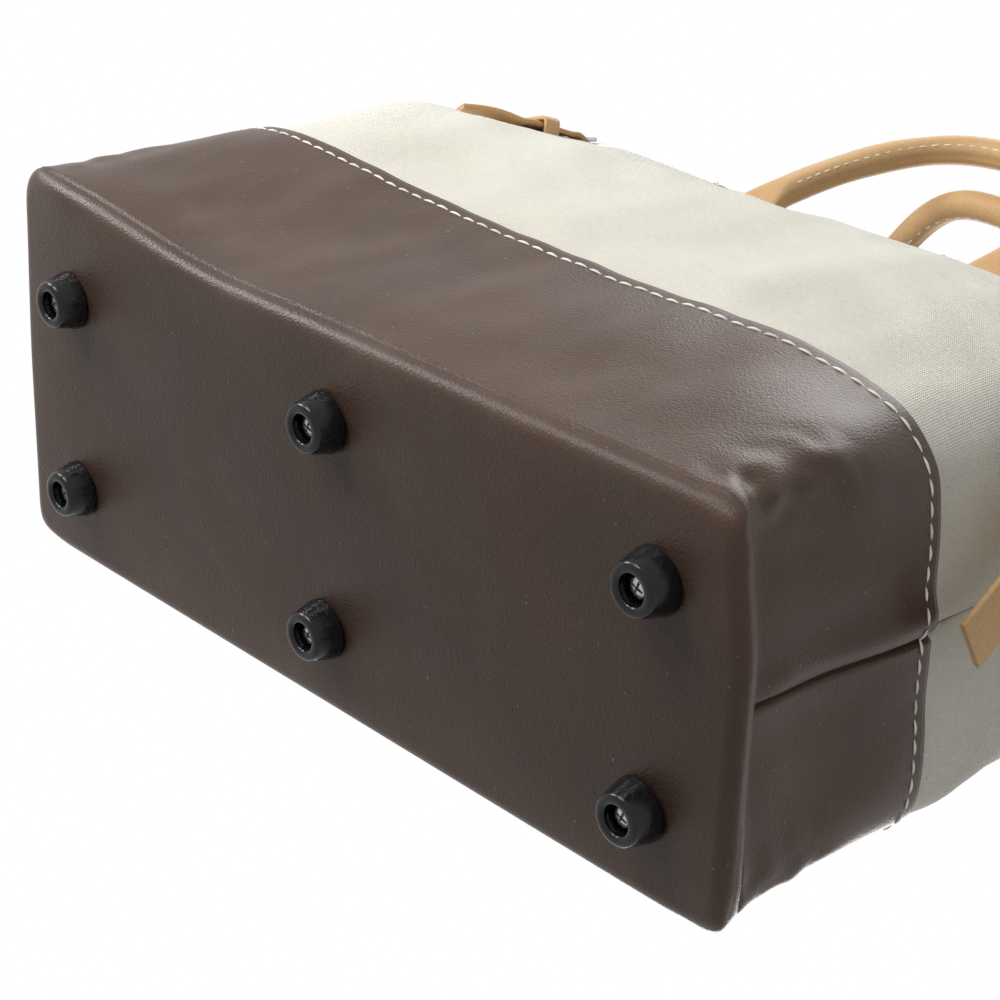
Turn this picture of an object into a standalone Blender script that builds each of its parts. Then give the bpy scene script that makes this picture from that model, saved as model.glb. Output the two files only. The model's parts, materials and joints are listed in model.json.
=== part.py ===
"""A canvas tool bag: a vinyl boot on six rubber feet, a canvas body, a mouth on a hinged steel frame, two
rolled leather handles and two buckled leather straps. Metres, +Z up, feet on Z = 0, front towards -Y. The
origin is on the floor under the middle of the whole."""

import functools
import math

import bmesh
import bpy
from mathutils import Matrix, Vector

# Sizes of the skin: the bag's outer surface, measured up from the underside of the vinyl
BODY_LENGTH = 0.418
BODY_WIDTH = 0.184
BODY_HEIGHT = 0.250
BASE_LENGTH_TAPER = 0.012
BASE_WIDTH_TAPER = 0.032
SHOULDER_LENGTH_TAPER = 0.008
SHOULDER_WIDTH_TAPER = 0.014
BELLY_HEIGHT_SHARE = 0.66
RIM_DROP = 0.028
BOOT_HEIGHT = 0.108
EDGE_RADIUS = 0.009
TAB_RISE = 0.052
TAB_HALF_WIDTH = 0.050
VINYL_THICKNESS = 0.0015
CANVAS_THICKNESS = 0.0012
GAP = 0.0003

# How square the plan is: the power of a superellipse at the base and at the shoulder
BASE_SQUARENESS = 13.0
SHOULDER_SQUARENESS = 4.4

# The hinged frame: two steel rods bent to a U, forged into thick eyes where they meet
PIVOT_RISE = 0.012
FRAME_REACH = 0.076
FRAME_LEAN_DEG = 12.0
FRAME_CORNER_RADIUS = 0.020
ROD_RADIUS = 0.003
LUG_RADIUS = 0.006
LUG_THICKNESS = 0.0052
LUG_LENGTH = 0.013
LUG_NECK = 0.008
LUG_NECK_SHARE = 1.1
PIVOT_RADIUS = 0.0022
PIVOT_HEAD_RADIUS = 0.0050
PIVOT_HEAD_HEIGHT = 0.0016
PIVOT_CROWN_SHARE = 0.7

# The mouth panels that hang on the frame
PANEL_CLEARANCE = 0.0008
PANEL_OVERLAP = 0.007
PANEL_START = 0.009
HEM_START = 0.028
PANEL_START_RISE = 0.001
PANEL_SLOPE_WIDTH = 0.045
HEM_DEPTH = 0.018
HEM_SLOPE_DEG = 45.0
HEM_EASE = 0.0008
LOW_PULL_SHARE = 0.36
HIGH_PULL_SHARE = 0.30
HEM_SHARE = 0.32
HEM_TWIST_RUN = 0.045
SKIN_STEP = 0.009

# Base board, feet and their fasteners
BOARD_THICKNESS = 0.003
BOARD_MARGIN = 0.004
BOARD_CORNER_RADIUS = 0.012
FOOT_HEIGHT = 0.012
FOOT_BASE_RADIUS = 0.01225
FOOT_TIP_RADIUS = 0.0095
FOOT_ROUNDING = 0.0018
FOOT_RECESS_RADIUS = 0.0055
FOOT_RECESS_DEPTH = 0.0060
FOOT_INSET_X = 0.037
FOOT_INSET_Y = 0.033
SCREW_RADIUS = 0.0020
SCREW_HEAD_RADIUS = 0.0042
SCREW_HEAD_HEIGHT = 0.0024
SCREW_CROWN_SHARE = 0.7
TEE_NUT_RADIUS = 0.0085
TEE_NUT_FLANGE = 0.0013
TEE_NUT_BARREL_WALL = 0.0011

# Inner pocket on the back wall
POCKET_WIDTH = 0.210
POCKET_HEIGHT = 0.120
POCKET_RIM_DROP = 0.017
POCKET_DEPTH = 0.012
POCKET_THICKNESS = 0.0012
POCKET_WIDTH_SHARES = (-1.0, -0.97, -0.90, -0.45, 0.0, 0.45, 0.90, 0.97, 1.0)
POCKET_BULGE_SHARES = (0.0, 0.25, 0.90, 1.0, 1.0, 1.0, 0.90, 0.25, 0.0)
POCKET_RISE_SHARES = (0.0, 0.04, 0.14, 0.45, 0.75, 1.0)
POCKET_FOOT_SHARES = (0.0, 0.30, 0.92, 1.0, 1.0, 1.0)

# Handles
HANDLE_SPACING = 0.130
HANDLE_DIAMETER = 0.0145
HANDLE_RISE = 0.124
HANDLE_LEAN_DEG = 9.0
BACK_HANDLE_RISE = 0.108
BACK_HANDLE_REACH = 0.093
HANDLE_SQUARENESS = 2.5
GRIP_SQUARENESS = 2.0
STRIP_SQUARENESS = 6.0
HANDLE_ROLL_START = 0.030
HANDLE_END_WIDTH = 0.024
HANDLE_END_THICKNESS = 0.0030
HANDLE_HINGE_CLEARANCE = 0.0052
HANDLE_TAB_WIDTH = 0.028
HANDLE_TAB_LENGTH = 0.030
HANDLE_TAB_THICKNESS = 0.0030
HANDLE_TAB_REACH = 0.064
TAB_OUTLINE_SHARES = ((0.0, 0.45), (0.06, 0.78), (0.18, 1.0), (0.45, 1.0), (0.72, 1.0), (1.0, 0.92))
RIVET_PLACE_SHARE = 0.46
RIVET_RADIUS = 0.0020
RIVET_HEAD_RADIUS = 0.0060
RIVET_HEAD_HEIGHT = 0.0026
RIVET_DOME_SHARES = ((0.0, 1.0), (0.5, 0.9), (0.87, 0.5), (1.0, 0.0))
BURR_RADIUS = 0.0045
BURR_THICKNESS = 0.0010

# Closure straps and their buckles
STRAP_INSET = 0.033
STRAP_WIDTH = 0.025
STRAP_THICKNESS = 0.0024
STRAP_LIFT = 0.0012
STRAP_ANCHOR = 0.062
STRAP_EASE = 0.0012
RIM_ANGLES_DEG = (40.0, 56.0, 72.0, 88.0)
BACK_RUN_SHARES = (0.0, 0.2, 0.4, 0.6, 0.8, 1.0)
FRONT_RUN_SHARES = (0.95, 0.65)
BOW_RUN_SHARE = 0.30
PANEL_BOW = 0.0038
TAIL_START = 0.038
TAIL_STEP = 0.022
TAIL_HOVER = 0.0085
BUCKLE_REACH = 0.074
BUCKLE_WIRE_RADIUS = 0.0016
BUCKLE_LENGTH = 0.022
BUCKLE_CORNER_RADIUS = 0.003
BUCKLE_SIDE_CLEARANCE = 0.0012
PRONG_RADIUS = 0.0012
CHAPE_LENGTH = 0.036
CHAPE_THICKNESS = 0.0018
CHAPE_SLOT_WIDTH = 0.0060
CHAPE_RIVET_PLACE = 0.046
CHAPE_RIVET_RADIUS = 0.0018
CHAPE_RIVET_HEAD_HEIGHT = 0.0014
CHAPE_HEAD_SHARE = 0.8
SMALL_DOME_SHARES = ((0.0, 1.0), (0.7, 0.8), (1.0, 0.0))
CHAPE_UNDER_SHARES = (0.0, 0.25, 0.5, 0.75, 0.92)
CHAPE_OVER_SHARES = ((0.85, 0.45), (0.65, 1.0), (0.4, 1.0), (0.2, 1.0), (0.0, 1.0))
STRAP_RIVET_INSET = 0.010
PRONG_SLOT_LENGTH = 0.0125
PRONG_EYE_TURN_DEG = 300.0
PRONG_REACH_SHARES = (0.35, 0.7, 1.0, 1.12)
CROSSING_SHARE = 0.38
BUCKLE_ENTRY_SHARE = 0.80
BUCKLE_EXIT_SHARE = 0.20
KEEPER_PLACE = 0.056
KEEPER_EASE = 0.0012
KEEPER_WIDTH = 0.009
KEEPER_THICKNESS = 0.0018
LEFT_TAIL_LENGTH = 0.022
LEFT_TAIL_SLANT_DEG = 18.0
RIGHT_TAIL_LENGTH = 0.150
RIGHT_TAIL_SLANT_DEG = 31.0
HOLE_RADIUS = 0.0026
HOLE_SPACING = 0.022
HOLE_COUNT = 5

# Colours and surfaces: base colour, roughness, metallic
VINYL_LOOK = ((0.105, 0.088, 0.074, 1.0), 0.62, 0.0)
CANVAS_LOOK = ((0.700, 0.690, 0.630, 1.0), 0.92, 0.0)
LEATHER_LOOK = ((0.560, 0.360, 0.180, 1.0), 0.55, 0.0)
RUBBER_LOOK = ((0.012, 0.012, 0.013, 1.0), 0.28, 0.0)
STEEL_LOOK = ((0.620, 0.630, 0.640, 1.0), 0.30, 1.0)
BOARD_LOOK = ((0.180, 0.120, 0.070, 1.0), 0.80, 0.0)

# How finely curved things are divided; a cutter is turned so that no edge of it lies level with a ring
MERGE_DISTANCE = 0.00001
AXIS_SIZE = 0.020
OUTLINE_POINTS = 720
EDGE_STEPS = 3
CURVE_STEPS = 8
HANDLE_CURVE_STEPS = 120
STRAP_STEP = 0.016
STRAP_TURN_RUN = 0.012
STRAP_EXTRA_STATIONS = 13
NEARBY_SHARE = 0.01
SKIN_COLUMNS = 40
SKIN_TURN_RUN = 0.10
PANEL_COLUMNS = 30
PANEL_TURN_RUN = 0.04
CORNER_STEPS = 24
LUG_STEPS = 6
BOARD_CORNER_STEPS = 4
BUCKLE_CORNER_STEPS = 2
PRONG_EYE_STEPS = 8
CHAPE_FOLD_STEPS = 5
FOOT_ROUNDING_STEPS = 2
WALL_STEPS = 5
WRAP_STEPS = 4
ROUND_STEPS = 16
HANDLE_STEPS = 26
CUTTER_TURN = 0.17
BOOT_RING_SHARES = (0.5, 1.0)
WALL_RING_SHARES = (0.35, 0.70, 0.97)
TAB_RING_SHARES = (0.5, 1.0)

# Sizes worked out from those above
BASE_LENGTH = BODY_LENGTH - BASE_LENGTH_TAPER
BASE_WIDTH = BODY_WIDTH - BASE_WIDTH_TAPER
SHOULDER_LENGTH = BODY_LENGTH - SHOULDER_LENGTH_TAPER
SHOULDER_WIDTH = BODY_WIDTH - SHOULDER_WIDTH_TAPER
BELLY_HEIGHT = BODY_HEIGHT * BELLY_HEIGHT_SHARE
RIM_HEIGHT = BODY_HEIGHT - RIM_DROP
FLOOR_TO_SKIN = FOOT_HEIGHT
PIVOT_HEIGHT = FLOOR_TO_SKIN + BODY_HEIGHT + PIVOT_RISE
CANVAS_INSET = VINYL_THICKNESS + GAP
BODY_INNER_INSET = CANVAS_INSET + CANVAS_THICKNESS
PANEL_INSET = BODY_INNER_INSET + PANEL_CLEARANCE
HEM_RADIUS = ROD_RADIUS + HEM_EASE + CANVAS_THICKNESS
FRAME_LEAN = math.radians(FRAME_LEAN_DEG)


def clear_scene():
    for old in list(bpy.data.objects):
        bpy.data.objects.remove(old, do_unlink=True)


def add_collection(name):
    collection = bpy.data.collections.new(name)
    bpy.context.scene.collection.children.link(collection)
    return collection


def make_material(name, look):
    colour, roughness, metallic = look
    material = bpy.data.materials.new(name)
    material.use_nodes = True
    shader = material.node_tree.nodes["Principled BSDF"]
    shader.inputs["Base Color"].default_value = colour
    shader.inputs["Roughness"].default_value = roughness
    shader.inputs["Metallic"].default_value = metallic
    return material


def add_object(name, mesh, material, collection):
    obj = bpy.data.objects.new(name, mesh)
    if material:
        mesh.materials.append(material)
    collection.objects.link(obj)
    return obj


def smooth(mesh, angle_deg=35.0):
    mesh.shade_smooth()
    mesh.set_sharp_from_angle(angle=math.radians(angle_deg))


def grid_mesh(name, rows, around=False, capped=False):
    """A mesh through rows of points; around joins each row into a ring, capped closes both ends."""
    bm = bmesh.new()
    made = [[bm.verts.new(point) for point in row] for row in rows]
    count = len(rows[0])
    for low, high in zip(made, made[1:]):
        for i in range(count if around else count - 1):
            j = (i + 1) % count
            bm.faces.new((low[i], low[j], high[j], high[i]))
    if capped:
        bm.faces.new(made[0])
        bm.faces.new(made[-1])
    bmesh.ops.recalc_face_normals(bm, faces=bm.faces)
    mesh = bpy.data.meshes.new(name)
    bm.to_mesh(mesh)
    bm.free()
    smooth(mesh)
    return mesh


def thicken(obj, thickness):
    """Give an open surface its thickness on the side that its faces turn away from."""
    solid = obj.modifiers.new("Thickness", "SOLIDIFY")
    solid.thickness = thickness
    solid.offset = -1.0
    solid.use_even_offset = True
    obj.modifiers.new("Triangles", "TRIANGULATE")


def cut(obj, cutter):
    if not obj.modifiers:
        obj.modifiers.new("Triangles", "TRIANGULATE")
    hole = obj.modifiers.new("Cut", "BOOLEAN")
    hole.operation = "DIFFERENCE"
    hole.object = cutter


def profile_mesh(name, profile, closed=False):
    """The outline of a turned body as (radius, height) points, listed down the outer side."""
    bm = bmesh.new()
    verts = [bm.verts.new((radius, 0.0, height)) for radius, height in profile]
    for first, second in zip(verts, verts[1:]):
        bm.edges.new((first, second))
    if closed:
        bm.edges.new((verts[-1], verts[0]))
    mesh = bpy.data.meshes.new(name)
    bm.to_mesh(mesh)
    bm.free()
    return mesh


def add_turned(name, profile, material, collection, place, closed=False, steps=ROUND_STEPS):
    obj = add_object(name, profile_mesh(name, profile, closed), material, collection)
    obj.matrix_world = place
    turn = obj.modifiers.new("Turn", "SCREW")
    turn.steps = steps
    turn.render_steps = steps
    turn.merge_threshold = MERGE_DISTANCE
    turn.use_merge_vertices = True
    turn.use_smooth_shade = True
    return obj


def along(point, axis):
    """A placement at a point whose Z runs along an axis."""
    return Matrix.Translation(point) @ Vector(axis).to_track_quat("Z", "Y").to_matrix().to_4x4()


def resample(points, count, turn_run=0.0):
    """Points at equal steps of a polyline's length, to which each radian that it turns adds a run."""
    marks = [0.0]
    for k in range(1, len(points)):
        step = points[k] - points[k - 1]
        turn = 0.0
        if turn_run and 1 < k:
            turn = step.angle(points[k - 1] - points[k - 2], 0.0)
        marks.append(marks[-1] + step.length + turn_run * turn)
    result = []
    k = 0
    for i in range(count):
        target = marks[-1] * i / (count - 1)
        while k < len(points) - 2 and marks[k + 1] < target:
            k += 1
        step = marks[k + 1] - marks[k]
        share = (target - marks[k]) / step if step else 0.0
        result.append(points[k].lerp(points[k + 1], min(max(share, 0.0), 1.0)))
    return result


def path_length(points):
    return sum((second - first).length for first, second in zip(points, points[1:]))


def tangents(points):
    ends = [points[0]] + list(points) + [points[-1]]
    return [(after - before).normalized() for before, after in zip(ends, ends[2:])]


def ease(share):
    """A share from 0 to 1 with a soft start and end."""
    share = min(max(share, 0.0), 1.0)
    return share * share * (3.0 - 2.0 * share)


# The skin: how long, wide and square the bag is at each height


def skin_size(height):
    below = min(max(height / BELLY_HEIGHT, 0.0), 1.0)
    above = min(max((height - BELLY_HEIGHT) / (BODY_HEIGHT - BELLY_HEIGHT), 0.0), 1.0)
    swell = math.sin(below * math.pi / 2.0)
    fall = 1.0 - math.cos(above * math.pi / 2.0)
    length = BASE_LENGTH + (BODY_LENGTH - BASE_LENGTH) * swell + (SHOULDER_LENGTH - BODY_LENGTH) * fall
    width = BASE_WIDTH + (BODY_WIDTH - BASE_WIDTH) * swell + (SHOULDER_WIDTH - BODY_WIDTH) * fall
    squareness = SHOULDER_SQUARENESS + (BASE_SQUARENESS - SHOULDER_SQUARENESS) * (1.0 - below) ** 3
    return length / 2.0, width / 2.0, squareness


def skin_point(height, inset, angle):
    """The point of the skin at a height, moved in by an inset, in a direction from the bag's middle."""
    half_length, half_width, power = skin_size(height)
    across = abs(math.cos(angle)) / (half_length - inset)
    deep = abs(math.sin(angle)) / (half_width - inset)
    radius = (across ** power + deep ** power) ** (-1.0 / power)
    return Vector((radius * math.cos(angle), radius * math.sin(angle), FLOOR_TO_SKIN + height))


def skin_outline(height, inset):
    """The plan of the skin at a height, from the right end seam round by the back."""
    angles = [2.0 * math.pi * i / OUTLINE_POINTS for i in range(OUTLINE_POINTS + 1)]
    return [skin_point(height, inset, angle) for angle in angles]


def skin_ring(height, inset):
    return resample(skin_outline(height, inset), SKIN_COLUMNS + 1, SKIN_TURN_RUN)[:-1]


def bowl_rows(inset, heights):
    """Rings from the flat bottom, round its edge and up the wall, all moved in by an inset."""
    radius = EDGE_RADIUS - inset
    rows = []
    for step in range(EDGE_STEPS + 1):
        angle = math.pi / 2.0 * step / EDGE_STEPS
        rise = radius * (1.0 - math.cos(angle))
        draw = radius * (1.0 - math.sin(angle))
        rows.append([point + Vector((0.0, 0.0, inset + rise)) for point in skin_ring(0.0, inset + draw)])
    rows += [skin_ring(height, inset) for height in heights]
    return rows


def bowl_mesh(name, rows):
    """A mesh through rings of points, closed at the first and open at the last."""
    bm = bmesh.new()
    made = [[bm.verts.new(point) for point in row] for row in rows]
    count = len(rows[0])
    for low, high in zip(made, made[1:]):
        for i in range(count):
            j = (i + 1) % count
            bm.faces.new((low[i], low[j], high[j], high[i]))
    bm.faces.new(list(reversed(made[0])))
    mesh = bpy.data.meshes.new(name)
    bm.to_mesh(mesh)
    bm.free()
    smooth(mesh)
    return mesh


def add_vinyl_boot(look, parts):
    rows = bowl_rows(0.0, [BOOT_HEIGHT * share for share in BOOT_RING_SHARES])
    boot = add_object("vinyl_boot", bowl_mesh("vinyl_boot", rows), look, parts)
    thicken(boot, VINYL_THICKNESS)
    return boot


def add_canvas_body(look, parts):
    """The canvas from the bag's floor to its rim, rising to a tab at each end for the frame's pivot."""
    heights = [BOOT_HEIGHT * share for share in BOOT_RING_SHARES]
    heights += [BOOT_HEIGHT + (RIM_HEIGHT - BOOT_HEIGHT) * share for share in WALL_RING_SHARES]
    rows = bowl_rows(CANVAS_INSET, heights)
    tab = [max(0.0, 1.0 - abs(point.y) / TAB_HALF_WIDTH) for point in skin_ring(RIM_HEIGHT, CANVAS_INSET)]
    for rise_share in TAB_RING_SHARES:
        row = []
        for point, share in zip(skin_ring(RIM_HEIGHT, CANVAS_INSET), tab):
            height = RIM_HEIGHT + TAB_RISE * share * rise_share
            angle = math.atan2(point.y, point.x)
            row.append(skin_point(height, CANVAS_INSET, angle))
        rows.append(row)
    body = add_object("canvas_body", bowl_mesh("canvas_body", rows), look, parts)
    thicken(body, CANVAS_THICKNESS)
    return body


# The frame: side is -1 for the front half and +1 for the back half


def pivot_point():
    return Vector((0.0, 0.0, PIVOT_HEIGHT))


def front_leg_x():
    half_length = skin_size(BODY_HEIGHT)[0]
    return half_length - PANEL_INSET - HEM_RADIUS


def leg_x(side):
    return front_leg_x() if side < 0 else front_leg_x() - LUG_THICKNESS - GAP


def frame_up(side):
    return Vector((0.0, side * math.sin(FRAME_LEAN), math.cos(FRAME_LEAN)))


def frame_out(side):
    """The direction square to the frame's plane that points out of the bag."""
    return Vector((0.0, side * math.cos(FRAME_LEAN), -math.sin(FRAME_LEAN)))


def frame_path(side, start):
    """Stations on the rod's middle, from a start up the left leg, over the bar and down the right leg."""
    reach = leg_x(side)
    centre_x = reach - FRAME_CORNER_RADIUS
    centre_up = FRAME_REACH - FRAME_CORNER_RADIUS
    flat = [(-reach, start)]
    for i in range(CORNER_STEPS + 1):
        angle = math.pi / 2.0 * i / CORNER_STEPS
        across = -centre_x - FRAME_CORNER_RADIUS * math.cos(angle)
        flat.append((across, centre_up + FRAME_CORNER_RADIUS * math.sin(angle)))
    half = [pivot_point() + Vector((x, 0.0, 0.0)) + frame_up(side) * up for x, up in flat]
    other = [Vector((-point.x, point.y, point.z)) for point in reversed(half)]
    return resample(half + other, PANEL_COLUMNS + 1, PANEL_TURN_RUN)


def rise_of(side, point):
    """How far up its half of the frame a point lies."""
    return (point - pivot_point()).dot(frame_up(side))


def oval_ring(centre, first, second, first_radius, second_radius, count=8):
    ring = []
    for i in range(count):
        angle = 2.0 * math.pi * (i + 0.5) / count
        sideways = first * (first_radius * math.cos(angle))
        ring.append(centre + sideways + second * (second_radius * math.sin(angle)))
    return ring


def add_frame_rod(name, side, look, parts):
    """A rod bent to a U whose two ends are forged into round eyes."""
    reach = leg_x(side)
    up = frame_up(side)
    out = frame_out(side)
    lug = []
    for i in range(LUG_STEPS):
        angle = math.pi * (i + 0.5) / (LUG_STEPS + 1)
        lug.append((-LUG_RADIUS * math.cos(angle), LUG_RADIUS * math.sin(angle), LUG_THICKNESS / 2.0))
    lug.append((LUG_LENGTH, ROD_RADIUS * LUG_NECK_SHARE, LUG_THICKNESS / 2.0))
    lug.append((LUG_LENGTH + LUG_NECK, ROD_RADIUS, ROD_RADIUS))
    left = pivot_point() + Vector((-reach, 0.0, 0.0))
    sideways = up.cross(out)
    rows = [oval_ring(left + up * rise, out, sideways, wide, thin) for rise, wide, thin in lug]
    path = frame_path(side, HEM_START)
    for point, tangent in zip(path, tangents(path)):
        rows.append(oval_ring(point, out, tangent.cross(out), ROD_RADIUS, ROD_RADIUS))
    right = pivot_point() + Vector((reach, 0.0, 0.0))
    ending = [oval_ring(right + up * rise, out, -sideways, wide, thin) for rise, wide, thin in lug]
    rows += reversed(ending)
    return add_object(name, grid_mesh(name, rows, around=True, capped=True), look, parts)


# The mouth panels: each hangs from its half of the frame and wraps over it in a hem


def panel_foot_line(side):
    """The panel's lower edge, tucked inside the body and rising towards the pivots."""
    outline = skin_outline(BODY_HEIGHT, PANEL_INSET)
    edge = [point for point in outline if point.y * side > PANEL_START]
    edge.sort(key=lambda point: math.atan2(point.y * side, -point.x))
    high = PIVOT_RISE + BODY_HEIGHT + PANEL_START_RISE
    low = RIM_HEIGHT - PANEL_OVERLAP
    line = []
    for point in edge:
        slide = (abs(point.y) - PANEL_START) / (PANEL_SLOPE_WIDTH - PANEL_START)
        height = high + (low - high) * min(slide, 1.0)
        line.append(skin_point(height, PANEL_INSET, math.atan2(point.y, point.x)))
    return resample(line, PANEL_COLUMNS + 1, PANEL_TURN_RUN)


def skin_rise(point):
    """The direction up the skin at a place on it."""
    height = point.z - FLOOR_TO_SKIN
    angle = math.atan2(point.y, point.x)
    above = skin_point(height + SKIN_STEP, PANEL_INSET, angle)
    return (above - skin_point(height, PANEL_INSET, angle)).normalized()


def hem_directions(side, rod, tangent, turn):
    """The directions out of the hem and over the rod: they swing from bar to leg as turn grows."""
    slope = math.radians(HEM_SLOPE_DEG)
    bar_out = Vector((0.0, side * math.cos(slope), math.sin(slope)))
    bar_over = Vector((0.0, -side * math.sin(slope), math.cos(slope)))
    leg_out = Vector((math.copysign(1.0, rod.x), 0.0, 0.0))
    out = (bar_out * math.cos(turn) + leg_out * math.sin(turn)).normalized()
    over = bar_over * math.cos(turn) - frame_out(side) * math.sin(turn)
    out = (out - tangent * out.dot(tangent)).normalized()
    square = tangent.cross(out)
    return out, square if square.dot(over) > 0.0 else -square


def panel_column(side, foot, rod, tangent, turn):
    """One strip of a panel, from its foot up the outside, over the rod and down the inside."""
    out, over = hem_directions(side, rod, tangent, turn)
    hem = max(min(HEM_DEPTH, HEM_SHARE * (rod - foot).length), 2.0 * HEM_RADIUS)
    half_seam = CANVAS_THICKNESS + GAP
    seam = rod - over * hem + out * half_seam
    reach = (seam - foot).length
    low_pull = foot + skin_rise(foot) * (reach * LOW_PULL_SHARE)
    high_pull = seam - over * (reach * HIGH_PULL_SHARE)
    strip = [foot]
    for i in range(1, WALL_STEPS):
        t = i / WALL_STEPS
        s = 1.0 - t
        pulled = low_pull * (3 * s * s * t) + high_pull * (3 * s * t * t)
        strip.append(foot * s ** 3 + pulled + seam * t ** 3)
    strip.append(seam)
    start = math.atan2(half_seam, hem) + math.acos(HEM_RADIUS / math.hypot(hem, half_seam)) - math.pi / 2.0
    for i in range(WRAP_STEPS + 1):
        angle = start + (math.pi - 2.0 * start) * i / WRAP_STEPS
        strip.append(rod + (out * math.cos(angle) + over * math.sin(angle)) * HEM_RADIUS)
    strip.append(rod - over * hem - out * half_seam)
    return strip


@functools.cache
def panel_columns(side):
    """The strips of a panel; travel is the distance past the bar's straight part, round to the leg."""
    feet = panel_foot_line(side)
    path = frame_path(side, HEM_START)
    centre_x = leg_x(side) - FRAME_CORNER_RADIUS
    columns = []
    for foot, rod, tangent in zip(feet, path, tangents(path)):
        past = abs(rod.x) - centre_x
        above = rise_of(side, rod) - FRAME_REACH + FRAME_CORNER_RADIUS
        if past < 0.0:
            travel = past
        elif above > 0.0:
            travel = FRAME_CORNER_RADIUS * math.atan2(past, above)
        else:
            travel = FRAME_CORNER_RADIUS * math.pi / 2.0 - above
        turn = math.pi / 2.0 * ease((travel + HEM_TWIST_RUN) / (2.0 * HEM_TWIST_RUN))
        columns.append(panel_column(side, foot, rod, tangent, turn))
    return columns


def add_mouth_panel(name, side, look, parts):
    columns = panel_columns(side)
    mesh = grid_mesh(name, columns)
    wall = mesh.polygons[PANEL_COLUMNS // 2 * (len(columns[0]) - 1)]
    if wall.normal.y * side < 0.0:
        mesh.flip_normals()
    panel = add_object(name, mesh, look, parts)
    thicken(panel, CANVAS_THICKNESS)
    return panel


# Places on the panels, where the handles and straps are fixed


def panel_strip(side, x):
    """The outside of a panel from foot to seam, along its section at a place in the length."""
    columns = panel_columns(side)
    strip = []
    for k in range(WALL_STEPS + 1):
        row = [column[k] for column in columns]
        for first, second in zip(row, row[1:]):
            if first.x <= x <= second.x:
                strip.append(first.lerp(second, (x - first.x) / (second.x - first.x)))
                break
    return strip


def place_on_strip(strip, run):
    """The point at a run up a strip, and the direction of the strip there."""
    travelled = 0.0
    for first, second in zip(strip, strip[1:]):
        step = (second - first).length
        if run <= travelled + step or second is strip[-1]:
            direction = (second - first).normalized()
            return first + direction * (run - travelled), direction
        travelled += step
    return strip[-1], Vector((0.0, 0.0, 1.0))


def panel_place(side, x, run):
    """A point on a panel's outside with its directions up the panel, out of it and across it."""
    strip = panel_strip(side, x)
    neighbour = panel_strip(side, x + STRAP_WIDTH / 4.0)
    point, _ = place_on_strip(strip, run)
    below, _ = place_on_strip(strip, run - STRAP_THICKNESS)
    above, _ = place_on_strip(strip, run + STRAP_THICKNESS)
    beside, _ = place_on_strip(neighbour, run)
    up = (above - below).normalized()
    out = up.cross(beside - point).normalized()
    if out.y * side < 0.0:
        out.negate()
    return point, up, out, up.cross(out)


def section_ring(centre, wide, thin, half_width, half_thickness, power, count=10):
    """A ring of points round a centre: an oval at power 2, and closer to a rectangle as the power grows."""
    ring = []
    for i in range(count):
        angle = 2.0 * math.pi * (i + 0.5) / count
        reach = (abs(math.cos(angle)) ** power + abs(math.sin(angle)) ** power) ** (-1.0 / power)
        sideways = wide * (half_width * reach * math.cos(angle))
        ring.append(centre + sideways + thin * (half_thickness * reach * math.sin(angle)))
    return ring


def flat_ring(centre, wide, thin, half_width, half_thickness):
    corners = ((1, 1), (-1, 1), (-1, -1), (1, -1))
    return [centre + wide * (half_width * a) + thin * (half_thickness * b) for a, b in corners]


def add_loft(name, rows, look, parts):
    return add_object(name, grid_mesh(name, rows, around=True, capped=True), look, parts)


def add_cylinder_cutter(name, radius, length, places, cutters):
    """One cutter that holds a cylinder at each place, its flats at the radius."""
    bm = bmesh.new()
    segments = ROUND_STEPS // 2
    corner_radius = radius / math.cos(math.pi / segments)
    turned = Matrix.Rotation(CUTTER_TURN, 4, "Z")
    for place in places:
        bmesh.ops.create_cone(
            bm,
            cap_ends=True,
            segments=segments,
            radius1=corner_radius,
            radius2=corner_radius,
            depth=length,
            matrix=place @ turned,
        )
    mesh = bpy.data.meshes.new(name)
    bm.to_mesh(mesh)
    bm.free()
    cutter = add_object(name, mesh, None, cutters)
    cutter.hide_render = True
    cutter.display_type = "WIRE"
    return cutter


# Board, feet and their fasteners


def foot_places():
    x = BASE_LENGTH / 2.0 - FOOT_INSET_X
    y = BASE_WIDTH / 2.0 - FOOT_INSET_Y
    rows = (("front", -y), ("back", y))
    columns = (("left", -x), ("middle", 0.0), ("right", x))
    return [(row + "_" + column, x, y) for row, y in rows for column, x in columns]


def board_level():
    return FLOOR_TO_SKIN + CANVAS_INSET + CANVAS_THICKNESS + GAP


def add_bottom_board(look, parts):
    half_length = BASE_LENGTH / 2.0 - BODY_INNER_INSET - BOARD_MARGIN - EDGE_RADIUS / 2.0
    half_width = BASE_WIDTH / 2.0 - BODY_INNER_INSET - BOARD_MARGIN - EDGE_RADIUS / 2.0
    corner_x = half_length - BOARD_CORNER_RADIUS
    corner_y = half_width - BOARD_CORNER_RADIUS
    outline = []
    for x_way, y_way, start in ((1, 1, 0), (-1, 1, 1), (-1, -1, 2), (1, -1, 3)):
        centre = Vector((x_way * corner_x, y_way * corner_y, board_level()))
        for step in range(BOARD_CORNER_STEPS + 1):
            angle = math.pi / 2.0 * (start + step / BOARD_CORNER_STEPS)
            outline.append(centre + Vector((math.cos(angle), math.sin(angle), 0.0)) * BOARD_CORNER_RADIUS)
    rise = Vector((0.0, 0.0, BOARD_THICKNESS))
    return add_loft("bottom_board", [outline, [point + rise for point in outline]], look, parts)


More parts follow.
